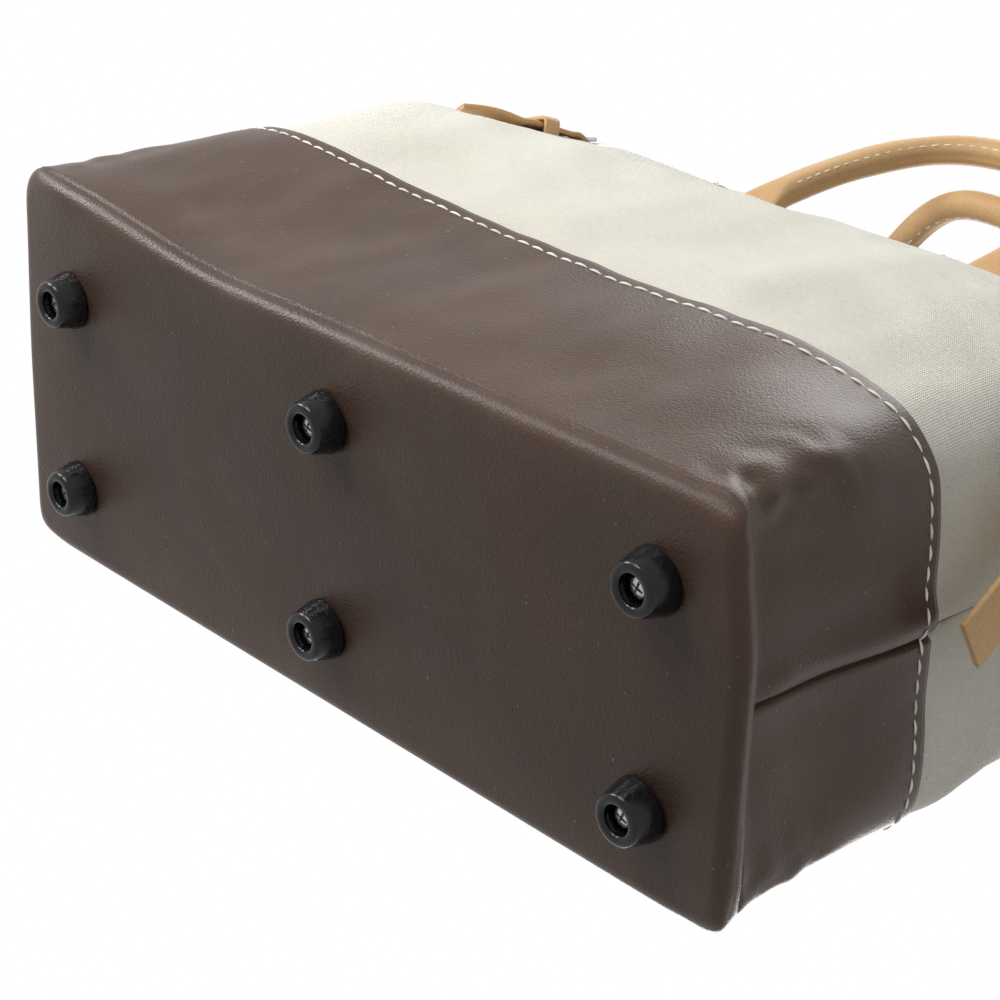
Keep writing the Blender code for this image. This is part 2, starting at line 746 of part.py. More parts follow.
def foot_profile():
    """A rubber cone frustum with a rounded tip, a recess for the screw's head and a bore for its shank."""
    top = FOOT_HEIGHT - GAP
    bore = SCREW_RADIUS + GAP
    profile = [(FOOT_BASE_RADIUS, top)]
    for step in range(FOOT_ROUNDING_STEPS + 1):
        angle = math.pi / 2.0 * step / FOOT_ROUNDING_STEPS
        radius = FOOT_TIP_RADIUS - FOOT_ROUNDING * (1.0 - math.cos(angle))
        profile.append((radius, FOOT_ROUNDING * (1.0 - math.sin(angle))))
    profile += [(FOOT_RECESS_RADIUS, 0.0), (FOOT_RECESS_RADIUS, FOOT_RECESS_DEPTH)]
    profile += [(bore, FOOT_RECESS_DEPTH), (bore, top)]
    return profile


def nut_top():
    """The tee nut's flange lies just under the board's top face, in a counterbore."""
    return board_level() + BOARD_THICKNESS - GAP


def screw_profile():
    seat = FOOT_RECESS_DEPTH - GAP
    top = nut_top()
    low = seat - SCREW_HEAD_HEIGHT
    shank = [(0.0, top), (SCREW_RADIUS, top), (SCREW_RADIUS, seat)]
    rim = [(SCREW_HEAD_RADIUS, seat), (SCREW_HEAD_RADIUS, low + SCREW_HEAD_HEIGHT / 3.0)]
    return shank + rim + [(SCREW_HEAD_RADIUS * SCREW_CROWN_SHARE, low), (0.0, low)]


def tee_nut_profile():
    bore = SCREW_RADIUS + GAP
    top = nut_top()
    seat = top - TEE_NUT_FLANGE
    barrel = bore + TEE_NUT_BARREL_WALL
    low = board_level()
    flange = [(TEE_NUT_RADIUS, top), (TEE_NUT_RADIUS, seat)]
    return flange + [(barrel, seat), (barrel, low), (bore, low), (bore, top)]


def add_feet(rubber, steel, parts):
    few = ROUND_STEPS // 2
    for name, x, y in foot_places():
        place = Matrix.Translation((x, y, 0.0))
        add_turned("foot_" + name, foot_profile(), rubber, parts, place, closed=True)
        add_turned("foot_screw_" + name, screw_profile(), steel, parts, place, steps=few)
        add_turned("tee_nut_" + name, tee_nut_profile(), steel, parts, place, closed=True, steps=few)


def cut_foot_holes(boot, body, board, cutters):
    shank = SCREW_RADIUS + GAP
    barrel = shank + TEE_NUT_BARREL_WALL + GAP
    places = [Matrix.Translation((x, y, FLOOR_TO_SKIN)) for _, x, y in foot_places()]
    through = add_cylinder_cutter("screw_holes", shank, FOOT_HEIGHT, places, cutters)
    cut(boot, through)
    cut(body, through)
    flange = TEE_NUT_RADIUS + GAP
    seat = nut_top() - TEE_NUT_FLANGE - GAP
    sunk = Matrix.Diagonal((flange / barrel, flange / barrel, 1.0, 1.0))
    seats = [Matrix.Translation((x, y, seat + FOOT_HEIGHT)) @ sunk for _, x, y in foot_places()]
    cut(board, add_cylinder_cutter("tee_nut_seats", barrel, 2.0 * FOOT_HEIGHT, seats, cutters))
    low_places = [Matrix.Translation((x, y, board_level())) for _, x, y in foot_places()]
    cut(board, add_cylinder_cutter("barrel_holes", barrel, FOOT_HEIGHT, low_places, cutters))


# Frame pivots


def add_pivots(look, body, rods, parts, cutters):
    """A rivet at each end through both lugs and the canvas tab outside them."""
    tab_out = skin_size(BODY_HEIGHT)[0] - CANVAS_INSET
    inner = leg_x(1) - LUG_THICKNESS / 2.0 - GAP
    outer = tab_out + 2.0 * GAP
    length = outer - inner
    crown = PIVOT_HEAD_RADIUS * PIVOT_CROWN_SHARE
    top = length + PIVOT_HEAD_HEIGHT
    head = [(0.0, top), (crown, top), (PIVOT_HEAD_RADIUS, length)]
    tail = [(PIVOT_HEAD_RADIUS, 0.0), (crown, -PIVOT_HEAD_HEIGHT), (0.0, -PIVOT_HEAD_HEIGHT)]
    profile = head + [(PIVOT_RADIUS, length), (PIVOT_RADIUS, 0.0)] + tail
    holes = []
    for name, way in (("left", -1.0), ("right", 1.0)):
        place = along((way * inner, 0.0, PIVOT_HEIGHT), (way, 0.0, 0.0))
        add_turned("frame_pivot_" + name, profile, look, parts, place, steps=ROUND_STEPS // 2)
        holes.append(along((way * (inner + outer) / 2.0, 0.0, PIVOT_HEIGHT), (way, 0.0, 0.0)))
    cutter = add_cylinder_cutter("pivot_holes", PIVOT_RADIUS + GAP, 2.0 * length, holes, cutters)
    for piece in [body] + rods:
        cut(piece, cutter)


# The pocket inside the back wall


def add_inner_pocket(look, parts):
    """A patch of canvas sewn to the wall at its sides and foot, standing off it as a pouch open at the top."""
    bottom = RIM_HEIGHT - POCKET_RIM_DROP - POCKET_HEIGHT
    rows = []
    for rise_share, foot_share in zip(POCKET_RISE_SHARES, POCKET_FOOT_SHARES):
        height = bottom + POCKET_HEIGHT * rise_share
        half_length, half_width, power = skin_size(height)
        row = []
        for width_share, bulge_share in zip(POCKET_WIDTH_SHARES, POCKET_BULGE_SHARES):
            x = width_share * POCKET_WIDTH / 2.0
            wall_share = (1.0 - (abs(x) / half_length) ** power) ** (1.0 / power)
            wall = (half_width - BODY_INNER_INSET) * wall_share
            stand = CANVAS_THICKNESS + POCKET_DEPTH * min(bulge_share, foot_share)
            row.append(Vector((x, wall - stand - POCKET_THICKNESS, FLOOR_TO_SKIN + height)))
        rows.append(row)
    mesh = grid_mesh("inner_pocket", rows)
    if mesh.polygons[len(mesh.polygons) // 2].normal.y > 0.0:
        mesh.flip_normals()
    pocket = add_object("inner_pocket", mesh, look, parts)
    thicken(pocket, POCKET_THICKNESS)
    return pocket


# Handles, their tabs and rivets


def add_rivet(name, point, out, layers, look, parts):
    """A rivet through layers of leather and the panel: domed head outside, round burr inside."""
    depth = layers + 3.0 * GAP
    low = -depth - BURR_THICKNESS
    profile = [(RIVET_HEAD_RADIUS * wide, RIVET_HEAD_HEIGHT * high) for wide, high in RIVET_DOME_SHARES]
    profile += [(RIVET_RADIUS, 0.0), (RIVET_RADIUS, -depth)]
    profile += [(BURR_RADIUS, -depth), (BURR_RADIUS, low), (0.0, low)]
    head = point + out * (layers - CANVAS_THICKNESS + 2.0 * GAP)
    add_turned(name, profile, look, parts, along(head, out), steps=ROUND_STEPS // 2)
    return along(point, out)


def hinge_place(side):
    """The middle of a handle's hinge line, just above its tabs."""
    run = HANDLE_TAB_REACH + HANDLE_TAB_LENGTH + HANDLE_HINGE_CLEARANCE
    point, _, out, _ = panel_place(side, HANDLE_SPACING / 2.0, run)
    place = point + out * (GAP + HANDLE_END_THICKNESS / 2.0)
    return Vector((0.0, place.y, place.z))


def handle_centre(side, share, across):
    """A point on the handle's bent plane: share runs from hinge to top, across lies along the bag."""
    hinge = hinge_place(side)
    if side < 0:
        lean = math.radians(HANDLE_LEAN_DEG)
        rise = HANDLE_RISE * share
        return hinge + Vector((across, -rise * math.sin(lean), rise * math.cos(lean)))
    bend = math.pi / 2.0 * share
    reach = BACK_HANDLE_REACH * (1.0 - math.cos(bend))
    return hinge + Vector((across, -reach, BACK_HANDLE_RISE * math.sin(bend)))


def handle_normal(side, share):
    low = handle_centre(side, max(share - NEARBY_SHARE, 0.0), 0.0)
    high = handle_centre(side, min(share + NEARBY_SHARE, 1.0), 0.0)
    return (high - low).normalized().cross(Vector((1.0, 0.0, 0.0)))


def add_handle(name, side, look, parts):
    """Leather that leaves its tabs flat and is rolled round over the grip."""
    dense = []
    for i in range(HANDLE_CURVE_STEPS + 1):
        angle = math.pi * i / HANDLE_CURVE_STEPS
        across = abs(math.cos(angle)) ** (2.0 / HANDLE_SQUARENESS)
        share = max(math.sin(angle), 0.0) ** (2.0 / HANDLE_SQUARENESS)
        way = -1.0 if angle < math.pi / 2.0 else 1.0
        dense.append((handle_centre(side, share, way * across * HANDLE_SPACING / 2.0), share))
    points = resample([point for point, _ in dense], HANDLE_STEPS + 1)
    shares = [min(dense, key=lambda pair: (pair[0] - point).length)[1] for point in points]
    rows = []
    travelled = 0.0
    total = path_length(points)
    for k, (point, share, tangent) in enumerate(zip(points, shares, tangents(points))):
        if k:
            travelled += (point - points[k - 1]).length
        rolled = ease((min(travelled, total - travelled) - HANDLE_END_WIDTH / 4.0) / HANDLE_ROLL_START)
        thin = handle_normal(side, share)
        thin = (thin - tangent * thin.dot(tangent)).normalized()
        half_width = (HANDLE_END_WIDTH + (HANDLE_DIAMETER - HANDLE_END_WIDTH) * rolled) / 2.0
        half_thickness = (HANDLE_END_THICKNESS + (HANDLE_DIAMETER - HANDLE_END_THICKNESS) * rolled) / 2.0
        power = STRIP_SQUARENESS + (GRIP_SQUARENESS - STRIP_SQUARENESS) * rolled
        rows.append(section_ring(point, tangent.cross(thin), thin, half_width, half_thickness, power))
    return add_loft(name, rows, look, parts)


def add_handle_tab(name, side, x, look, parts):
    """A flat leather end with a rounded foot, following the panel under the hinge line."""
    rows = []
    half_thickness = HANDLE_TAB_THICKNESS / 2.0
    for run_share, width_share in TAB_OUTLINE_SHARES:
        run = HANDLE_TAB_REACH + HANDLE_TAB_LENGTH * run_share
        point, _, out, across = panel_place(side, x, run)
        centre = point + out * (GAP + half_thickness)
        rows.append(flat_ring(centre, across, out, HANDLE_TAB_WIDTH / 2.0 * width_share, half_thickness))
    return add_loft(name, rows, look, parts)


def add_handle_set(prefix, side, leather, steel, parts, cutters):
    """A handle with its two tabs and rivets. Returns the placements of the holes in the panel."""
    add_handle(prefix + "_handle", side, leather, parts)
    tabs = []
    holes = []
    for name, way in (("left", -1.0), ("right", 1.0)):
        x = way * HANDLE_SPACING / 2.0
        tabs.append(add_handle_tab(prefix + "_handle_tab_" + name, side, x, leather, parts))
        point, _, out, _ = panel_place(side, x, HANDLE_TAB_REACH + HANDLE_TAB_LENGTH * RIVET_PLACE_SHARE)
        layers = HANDLE_TAB_THICKNESS + CANVAS_THICKNESS
        holes.append(add_rivet(prefix + "_handle_rivet_" + name, point, out, layers, steel, parts))
    length = 4.0 * (HANDLE_TAB_THICKNESS + CANVAS_THICKNESS)
    cutter = add_cylinder_cutter(prefix + "_handle_rivet_holes", RIVET_RADIUS + GAP, length, holes, cutters)
    for tab in tabs:
        cut(tab, cutter)
    return holes


# Closure straps, their buckles, chapes and keepers


def strap_x(way):
    return way * (SHOULDER_LENGTH / 2.0 - STRAP_INSET)


def buckle_half_width():
    return STRAP_WIDTH / 2.0 + BUCKLE_SIDE_CLEARANCE + BUCKLE_WIRE_RADIUS


def chape_half_width():
    return buckle_half_width() - BUCKLE_CORNER_RADIUS - GAP


def prong_height():
    """How far the prong's middle stands above the middles of the buckle's bars."""
    return BUCKLE_WIRE_RADIUS + GAP + PRONG_RADIUS


def end_bar_lift():
    """How far the end bar stands off the panel: the prong's eye turns round it clear of the canvas."""
    return GAP + prong_height() + PRONG_RADIUS


def chape_lifts():
    """The middles of the chape's two layers above the panel, under the bar and above it."""
    low = GAP + STRAP_EASE + CHAPE_THICKNESS / 2.0
    return low, low + CHAPE_THICKNESS + GAP


def strap_lift_on_chape():
    layers = chape_lifts()[1] + CHAPE_THICKNESS / 2.0 + GAP + CHAPE_RIVET_HEAD_HEIGHT
    return layers + STRAP_EASE + STRAP_THICKNESS / 2.0


def strap_drop():
    """How far the strap's middle runs below the middle of the buckle's free bar."""
    return BUCKLE_WIRE_RADIUS + STRAP_EASE + GAP + STRAP_THICKNESS / 2.0


def free_bar_lift():
    return GAP + PANEL_BOW + STRAP_THICKNESS / 2.0 + strap_drop()


def strap_directions(side, way, run):
    """A point on a panel under a strap's middle, with the directions across the strap and out of it."""
    x = strap_x(way)
    half_width = buckle_half_width() + BUCKLE_WIRE_RADIUS
    point, up, out, _ = panel_place(side, x, run)
    left, _ = place_on_strip(panel_strip(side, x - half_width), run)
    right, _ = place_on_strip(panel_strip(side, x + half_width), run)
    across = (right - left).normalized()
    normal = (up - across * up.dot(across)).normalized().cross(across)
    if normal.dot(out) < 0.0:
        normal.negate()
    return point, across, normal


def lifted(side, way, run, lift):
    """A point off a panel under the middle of a strap, clear of the panel over the buckle's width, and the
    direction across the strap there."""
    point, across, normal = strap_directions(side, way, run)
    half_width = buckle_half_width() + BUCKLE_WIRE_RADIUS
    stand = 0.0
    for width_share in (-1.0, -0.5, 0.5, 1.0):
        strip = panel_strip(side, strap_x(way) + half_width * width_share)
        for nearby in (-STRAP_THICKNESS, 0.0, STRAP_THICKNESS):
            beside, _ = place_on_strip(strip, run + nearby)
            stand = max(stand, (beside - point).dot(normal))
    return point + normal * (stand + lift), across


def rim_stations(side, way):
    """The strap over the rim: off the hem's flank and over its crest."""
    rod = pivot_point() + frame_up(side) * FRAME_REACH
    rod.x = strap_x(way)
    clear = HEM_RADIUS + STRAP_THICKNESS / 2.0 + STRAP_LIFT
    sideways = Vector((1.0, 0.0, 0.0))
    stations = []
    for angle_deg in RIM_ANGLES_DEG:
        angle = math.radians(angle_deg)
        out = Vector((0.0, side * math.cos(angle), math.sin(angle)))
        stations.append((rod + out * clear, sideways))
    return stations


def tail_stations(way, tail_length, slant_deg):
    """The strap's end, leaving the keeper and slanting round the bag's corner towards the end."""
    start, across = lifted(-1, way, TAIL_START, strap_lift_on_chape())
    slant = math.radians(slant_deg)
    down = math.cos(slant)
    round_corner = math.sin(slant)
    stations = [(start, across)]
    steps = max(2, round(tail_length / TAIL_STEP))
    for k in range(1, steps + 1):
        travelled = tail_length * k / steps
        height = start.z - FLOOR_TO_SKIN - travelled * down
        skin_height = min(height, BODY_HEIGHT)
        point, out, along_skin = walk_round_corner(way, skin_height, start.x, travelled * round_corner)
        hover = TAIL_HOVER if k > 1 else (TAIL_HOVER + strap_lift_on_chape()) / 2.0
        point.z = FLOOR_TO_SKIN + height
        direction = along_skin * down + Vector((0.0, 0.0, round_corner))
        if direction.dot(across) < 0.0:
            direction.negate()
        stations.append((point + out * hover, direction))
    return stations


def walk_round_corner(way, height, start_x, distance):
    """A point on the front of the skin, some way from a start towards the bag's end, with the directions
    out of the skin and along it there."""
    front = [point for point in skin_outline(height, 0.0) if point.y <= 0.0]
    outline = [point for point in front if point.x * way >= abs(start_x)]
    outline.sort(key=lambda point: point.y)
    travelled = 0.0
    for first, second in zip(outline, outline[1:]):
        step = (second - first).length
        if travelled + step >= distance:
            along_skin = (second - first).normalized()
            out = along_skin.cross(Vector((0.0, 0.0, 1.0)))
            if out.x * way < 0.0:
                out.negate()
            return first.lerp(second, (distance - travelled) / step), out, along_skin
        travelled += step
    return outline[-1].copy(), Vector((way, 0.0, 0.0)), Vector((0.0, 1.0, 0.0))


def smooth_stations(stations, count):
    """Stations on a smooth curve through the given ones, closer together where it bends."""
    points = [point for point, _ in stations]
    sides = [across for _, across in stations]
    dense = []
    for k in range(len(points) - 1):
        before = points[max(k - 1, 0)]
        after = points[min(k + 2, len(points) - 1)]
        span = (points[k + 1] - points[k]).length
        leave = (points[k + 1] - before).normalized() * span
        arrive = (after - points[k]).normalized() * span
        for i in range(CURVE_STEPS):
            t = i / CURVE_STEPS
            passed = ease(t)
            bend = leave * (t ** 3 - 2 * t ** 2 + t) + arrive * (t ** 3 - t ** 2)
            dense.append((points[k].lerp(points[k + 1], passed) + bend, sides[k].lerp(sides[k + 1], t)))
    dense.append(stations[-1])
    chosen = resample([point for point, _ in dense], count, STRAP_TURN_RUN)
    return [(point, min(dense, key=lambda pair: (pair[0] - point).length)[1]) for point in chosen]


def ribbon_rows(stations, half_width, half_thickness):
    points = [point for point, _ in stations]
    rows = []
    for (point, across), tangent in zip(stations, tangents(points)):
        across = (across - tangent * across.dot(tangent)).normalized()
        rows.append(flat_ring(point, across, tangent.cross(across), half_width, half_thickness))
    return rows


def strap_stations(way, tail_length, slant_deg):
    """A strap's whole run: up the back, over the mouth, through the buckle and keeper, and its tail."""
    bar, across, reach, out = buckle_axes(way)
    free = BUCKLE_REACH + BUCKLE_LENGTH
    seated = GAP + STRAP_THICKNESS / 2.0 + STRAP_EASE
    seam = path_length(panel_strip(1, strap_x(way)))
    rise = seam - STRAP_ANCHOR
    back = [lifted(1, way, STRAP_ANCHOR + rise * share, seated) for share in BACK_RUN_SHARES]
    over = rim_stations(1, way) + list(reversed(rim_stations(-1, way)))
    front = [lifted(-1, way, free + (seam - free) * share, seated) for share in FRONT_RUN_SHARES]
    front.append(lifted(-1, way, free + (seam - free) * BOW_RUN_SHARE, seated + PANEL_BOW / 2.0))
    under = strap_drop()
    above = prong_height() + PRONG_RADIUS + GAP + STRAP_THICKNESS / 2.0
    entry = [(1.0, -under), (BUCKLE_ENTRY_SHARE, GAP - under)]
    for share, height in entry + [(BUCKLE_EXIT_SHARE, above - GAP), (0.0, above)]:
        front.append((bar + reach * share + out * height, across))
    front.append(lifted(-1, way, KEEPER_PLACE, strap_lift_on_chape()))
    front.append(lifted(-1, way, CHAPE_RIVET_PLACE, strap_lift_on_chape() + GAP))
    stations = back + over + front + tail_stations(way, tail_length, slant_deg)
    count = round(path_length([point for point, _ in stations]) / STRAP_STEP) + STRAP_EXTRA_STATIONS
    return smooth_stations(stations, count)


def add_strap(name, way, tail_length, slant_deg, look, parts, cutters):
    """A strap from its rivet on the back, over the mouth, through the buckle and down to its loose end."""
    stations = strap_stations(way, tail_length, slant_deg)
    rows = ribbon_rows(stations, STRAP_WIDTH / 2.0, STRAP_THICKNESS / 2.0)
    strap = add_loft(name, rows, look, parts)
    places = strap_hole_places(way, stations)
    places.append(hole_placement(stations, STRAP_RIVET_INSET))
    cut(strap, add_cylinder_cutter(name + "_holes", HOLE_RADIUS, 4.0 * STRAP_THICKNESS, places, cutters))


def strap_hole_places(way, stations):
    """A slot where the prong passes through, and round adjustment holes from there to the loose end."""
    points = [point for point, _ in stations]
    bar, _, reach, out = buckle_axes(way)
    crossing = bar + reach * CROSSING_SHARE + out * prong_height()
    travelled = 0.0
    nearest = None
    for first, second in zip(points, points[1:]):
        step = second - first
        share = min(max((crossing - first).dot(step) / step.length_squared, 0.0), 1.0)
        gap = (first + step * share - crossing).length
        if nearest is None or gap < nearest[0]:
            nearest = (gap, travelled + step.length * share)
        travelled += step.length
    places = [hole_placement(stations, nearest[1], PRONG_SLOT_LENGTH / 2.0 / HOLE_RADIUS)]
    run = nearest[1] + HOLE_SPACING * 2.0
    while run < travelled - HOLE_SPACING / 2.0 and len(places) <= HOLE_COUNT:
        places.append(hole_placement(stations, run))
        run += HOLE_SPACING
    return places


def hole_placement(stations, run, stretch=1.0):
    """A placement at a run along the strap: Z through it and Y along it, stretched."""
    travelled = 0.0
    for (first, across), (second, _) in zip(stations, stations[1:]):
        step = second - first
        if travelled + step.length >= run:
            break
        travelled += step.length
    tangent = step.normalized()
    across = (across - tangent * across.dot(tangent)).normalized()
    turn = Matrix((across, tangent, across.cross(tangent))).transposed().to_4x4()
    stretched = Matrix.Diagonal((1.0, stretch, 1.0, 1.0))
    return Matrix.Translation(first + tangent * (run - travelled)) @ turn @ stretched


def buckle_axes(way):
    """The end bar's middle and the buckle's directions: across the strap, towards the free bar and out."""
    bar, across = lifted(-1, way, BUCKLE_REACH, end_bar_lift())
    free, _ = lifted(-1, way, BUCKLE_REACH + BUCKLE_LENGTH, free_bar_lift())
    reach = free - bar
    across = (across - reach * (across.dot(reach) / reach.length_squared)).normalized()
    out = across.cross(reach).normalized()
    if out.y > 0.0:
        out.negate()
    return bar, across, reach, out


def add_buckle_frame(name, way, look, parts):
    bar, across, reach, out = buckle_axes(way)
    half_width = buckle_half_width()
    along_reach = reach.normalized()
    length = reach.length
    side = half_width - BUCKLE_CORNER_RADIUS
    top = length - BUCKLE_CORNER_RADIUS
    foot = BUCKLE_CORNER_RADIUS
    corners = ((side, top, 0), (-side, top, 1), (-side, foot, 2), (side, foot, 3))
    path = []
    for centre_across, centre_up, start in corners:
        for step in range(BUCKLE_CORNER_STEPS + 1):
            angle = math.pi / 2.0 * (start + step / BUCKLE_CORNER_STEPS)
            sideways = centre_across + BUCKLE_CORNER_RADIUS * math.cos(angle)
            upwards = centre_up + BUCKLE_CORNER_RADIUS * math.sin(angle)
            path.append(bar + across * sideways + along_reach * upwards)
    rows = []
    for k, point in enumerate(path):
        tangent = (path[(k + 1) % len(path)] - path[k - 1]).normalized()
        rows.append(oval_ring(point, tangent.cross(out), out, BUCKLE_WIRE_RADIUS, BUCKLE_WIRE_RADIUS))
    rows.append(rows[0])
    mesh = grid_mesh(name, rows, around=True)
    weld = add_object(name, mesh, look, parts).modifiers.new("Weld", "WELD")
    weld.merge_threshold = MERGE_DISTANCE


def add_prong(name, way, look, parts):
    """A wire with an eye round the end bar and a tongue that rests on the free bar."""
    bar, across, reach, out = buckle_axes(way)
    eye = prong_height()
    along_reach = reach.normalized()
    rows = []
    path = []
    for step in range(PRONG_EYE_STEPS + 1):
        angle = math.pi / 2.0 + math.radians(PRONG_EYE_TURN_DEG) * (1.0 - step / PRONG_EYE_STEPS)
        path.append(bar + (along_reach * math.cos(angle) + out * math.sin(angle)) * eye)
    for share in PRONG_REACH_SHARES:
        path.append(bar + reach * share + out * eye)
    for point, tangent in zip(path, tangents(path)):
        rows.append(oval_ring(point, tangent.cross(across), across, PRONG_RADIUS, PRONG_RADIUS, 6))
    add_loft(name, rows, look, parts)


def add_chape(name, way, rivet, look, parts, cutters):
    """Leather folded round the end bar, its two layers riveted to the panel, slotted for the prong."""
    low, high = chape_lifts()
    bar, across, reach, out = buckle_axes(way)
    along_reach = reach.normalized()
    foot = BUCKLE_REACH - CHAPE_LENGTH
    radius = BUCKLE_WIRE_RADIUS + GAP + CHAPE_THICKNESS / 2.0
    flat = CHAPE_LENGTH - radius
    stations = [lifted(-1, way, foot + flat * share, low) for share in CHAPE_UNDER_SHARES]
    for step in range(CHAPE_FOLD_STEPS + 1):
        angle = math.pi * (1.5 + step / CHAPE_FOLD_STEPS)
        stations.append((bar + (along_reach * math.cos(angle) + out * math.sin(angle)) * radius, across))
    drop = (bar - lifted(-1, way, BUCKLE_REACH, 0.0)[0]).length
    for share, fall in CHAPE_OVER_SHARES:
        lift = (drop + radius) * (1.0 - fall) + high * fall
        stations.append(lifted(-1, way, foot + flat * share, lift))
    chape = add_loft(name, ribbon_rows(stations, chape_half_width(), CHAPE_THICKNESS / 2.0), look, parts)
    eye = prong_height() + PRONG_RADIUS + 2.0 * GAP
    slot = along(bar, across) @ Matrix.Diagonal((1.0, 1.0, CHAPE_SLOT_WIDTH / CHAPE_LENGTH, 1.0))
    hole = CHAPE_RIVET_RADIUS + GAP
    stretched = Matrix.Diagonal((eye / hole, eye / hole, 1.0, 1.0))
    cut(chape, add_cylinder_cutter(name + "_holes", hole, CHAPE_LENGTH, [slot @ stretched, rivet], cutters))


def add_keeper(name, way, look, parts):
    """A leather loop over the strap, its ends down beside the chape."""
    point, across = lifted(-1, way, KEEPER_PLACE, 0.0)
    _, _, out = strap_directions(-1, way, KEEPER_PLACE)
    up = out.cross(across).normalized()
    half_width = STRAP_WIDTH / 2.0 + KEEPER_EASE + KEEPER_THICKNESS / 2.0
    top = strap_lift_on_chape() + STRAP_THICKNESS / 2.0 + STRAP_EASE + GAP + KEEPER_THICKNESS / 2.0
    bend = KEEPER_THICKNESS
    cut_corner = bend / 3.0
    right = [(half_width - bend, top), (half_width - cut_corner, top - cut_corner), (half_width, top - bend),
             (half_width, 2.0 * GAP)]
    left = [(-sideways, height) for sideways, height in reversed(right)]
    stations = [(point + across * sideways + out * height, up) for sideways, height in left + right]
    add_loft(name, ribbon_rows(stations, KEEPER_WIDTH / 2.0, KEEPER_THICKNESS / 2.0), look, parts)


def add_strap_rivet(name, side, way, run, layers, look, parts):
    """A small rivet through layers of leather and a panel. Returns the placement of its hole."""
    point, _ = lifted(side, way, run, 0.0)
    _, _, out = strap_directions(side, way, run)
    surface, _ = place_on_strip(panel_strip(side, strap_x(way)), run)
    depth = layers + (point - surface).length + CANVAS_THICKNESS + 2.0 * GAP + STRAP_EASE
    radius = RIVET_HEAD_RADIUS * CHAPE_HEAD_SHARE
    low = -depth - BURR_THICKNESS
    profile = [(radius * wide, CHAPE_RIVET_HEAD_HEIGHT * high) for wide, high in SMALL_DOME_SHARES]
    profile += [(CHAPE_RIVET_RADIUS, 0.0), (CHAPE_RIVET_RADIUS, -depth)]
    profile += [(BURR_RADIUS, -depth), (BURR_RADIUS, low), (0.0, low)]
    add_turned(name, profile, look, parts, along(point + out * (layers + GAP), out), steps=ROUND_STEPS // 2)
    return along(point, out)


def add_closure(prefix, way, tail_length, slant_deg, leather, steel, parts, cutters):
    """One strap with its buckle. Returns the placements of the holes in the front and back panels."""
    add_strap(prefix + "_closure_strap", way, tail_length, slant_deg, leather, parts, cutters)
    add_buckle_frame(prefix + "_buckle_frame", way, steel, parts)
    add_prong(prefix + "_buckle_prong", way, steel, parts)
    chape_top = chape_lifts()[1] + CHAPE_THICKNESS / 2.0
    front = add_strap_rivet(prefix + "_chape_rivet", -1, way, CHAPE_RIVET_PLACE, chape_top, steel, parts)
    strap_top = 4.0 * GAP + STRAP_THICKNESS + STRAP_EASE
    anchor = STRAP_ANCHOR + STRAP_RIVET_INSET
    back = add_strap_rivet(prefix + "_strap_rivet", 1, way, anchor, strap_top, steel, parts)
    add_chape(prefix + "_buckle_chape", way, front, leather, parts, cutters)
    add_keeper(prefix + "_strap_keeper", way, leather, parts)
    return front, back


# Joints: empties on their axes carry the pieces that turn about them


def add_axis(name, place, direction, axes, carrier=None):
    axis = bpy.data.objects.new(name, None)
    axis.empty_display_size = AXIS_SIZE
    axis.matrix_world = Matrix.Translation(place) @ direction.to_track_quat("X", "Z").to_matrix().to_4x4()
    axes.objects.link(axis)
    bpy.context.view_layer.update()
    if carrier:
        carry(carrier, [axis])
    return axis


def carry(axis, pieces):
    for piece in pieces:
        piece.parent = axis
        piece.matrix_parent_inverse = axis.matrix_world.inverted()
    bpy.context.view_layer.update()


def hang_moving_pieces(parts, axes):
    """Hang the frame's halves on the pivots, handles and buckles on the halves, and prongs on the buckles."""
    sideways = Vector((1.0, 0.0, 0.0))
    halves = {}
    for name, side in (("front", -1), ("back", 1)):
        half = add_axis(name + "_frame_axis", pivot_point(), sideways, axes)
        carried = ["frame_rod", "canvas_panel", "handle_tab_left", "handle_tab_right", "handle_rivet_left",
                   "handle_rivet_right"]
        carry(half, [parts.objects[name + "_" + piece] for piece in carried])
        handle = add_axis(name + "_handle_axis", hinge_place(side), sideways, axes, half)
        carry(handle, [parts.objects[name + "_handle"]])
        halves[name] = half
    for name, way in (("left", -1.0), ("right", 1.0)):
        bar, across, _, _ = buckle_axes(way)
        buckle = add_axis(name + "_buckle_axis", bar, across, axes, halves["front"])
        prong = add_axis(name + "_prong_axis", bar, across, axes, buckle)
        carry(buckle, [parts.objects[name + "_buckle_frame"]])
        carry(prong, [parts.objects[name + "_buckle_prong"]])
        for half, carried in (("front", ("buckle_chape", "chape_rivet", "strap_keeper")),
                              ("back", ("closure_strap", "strap_rivet"))):
            carry(halves[half], [parts.objects[name + "_" + piece] for piece in carried])


def centre_on_origin(collections, parts):
    """Move everything along the length until the origin is under the middle of the whole."""
    depsgraph = bpy.context.evaluated_depsgraph_get()
    places = []
    for piece in parts.objects:
        shaped = piece.evaluated_get(depsgraph)
        places += [(shaped.matrix_world @ Vector(corner)).x for corner in shaped.bound_box]
    middle = (min(places) + max(places)) / 2.0
    for collection in collections:
        for piece in collection.objects:
            if not piece.parent:
                piece.location.x -= middle
    bpy.context.view_layer.update()


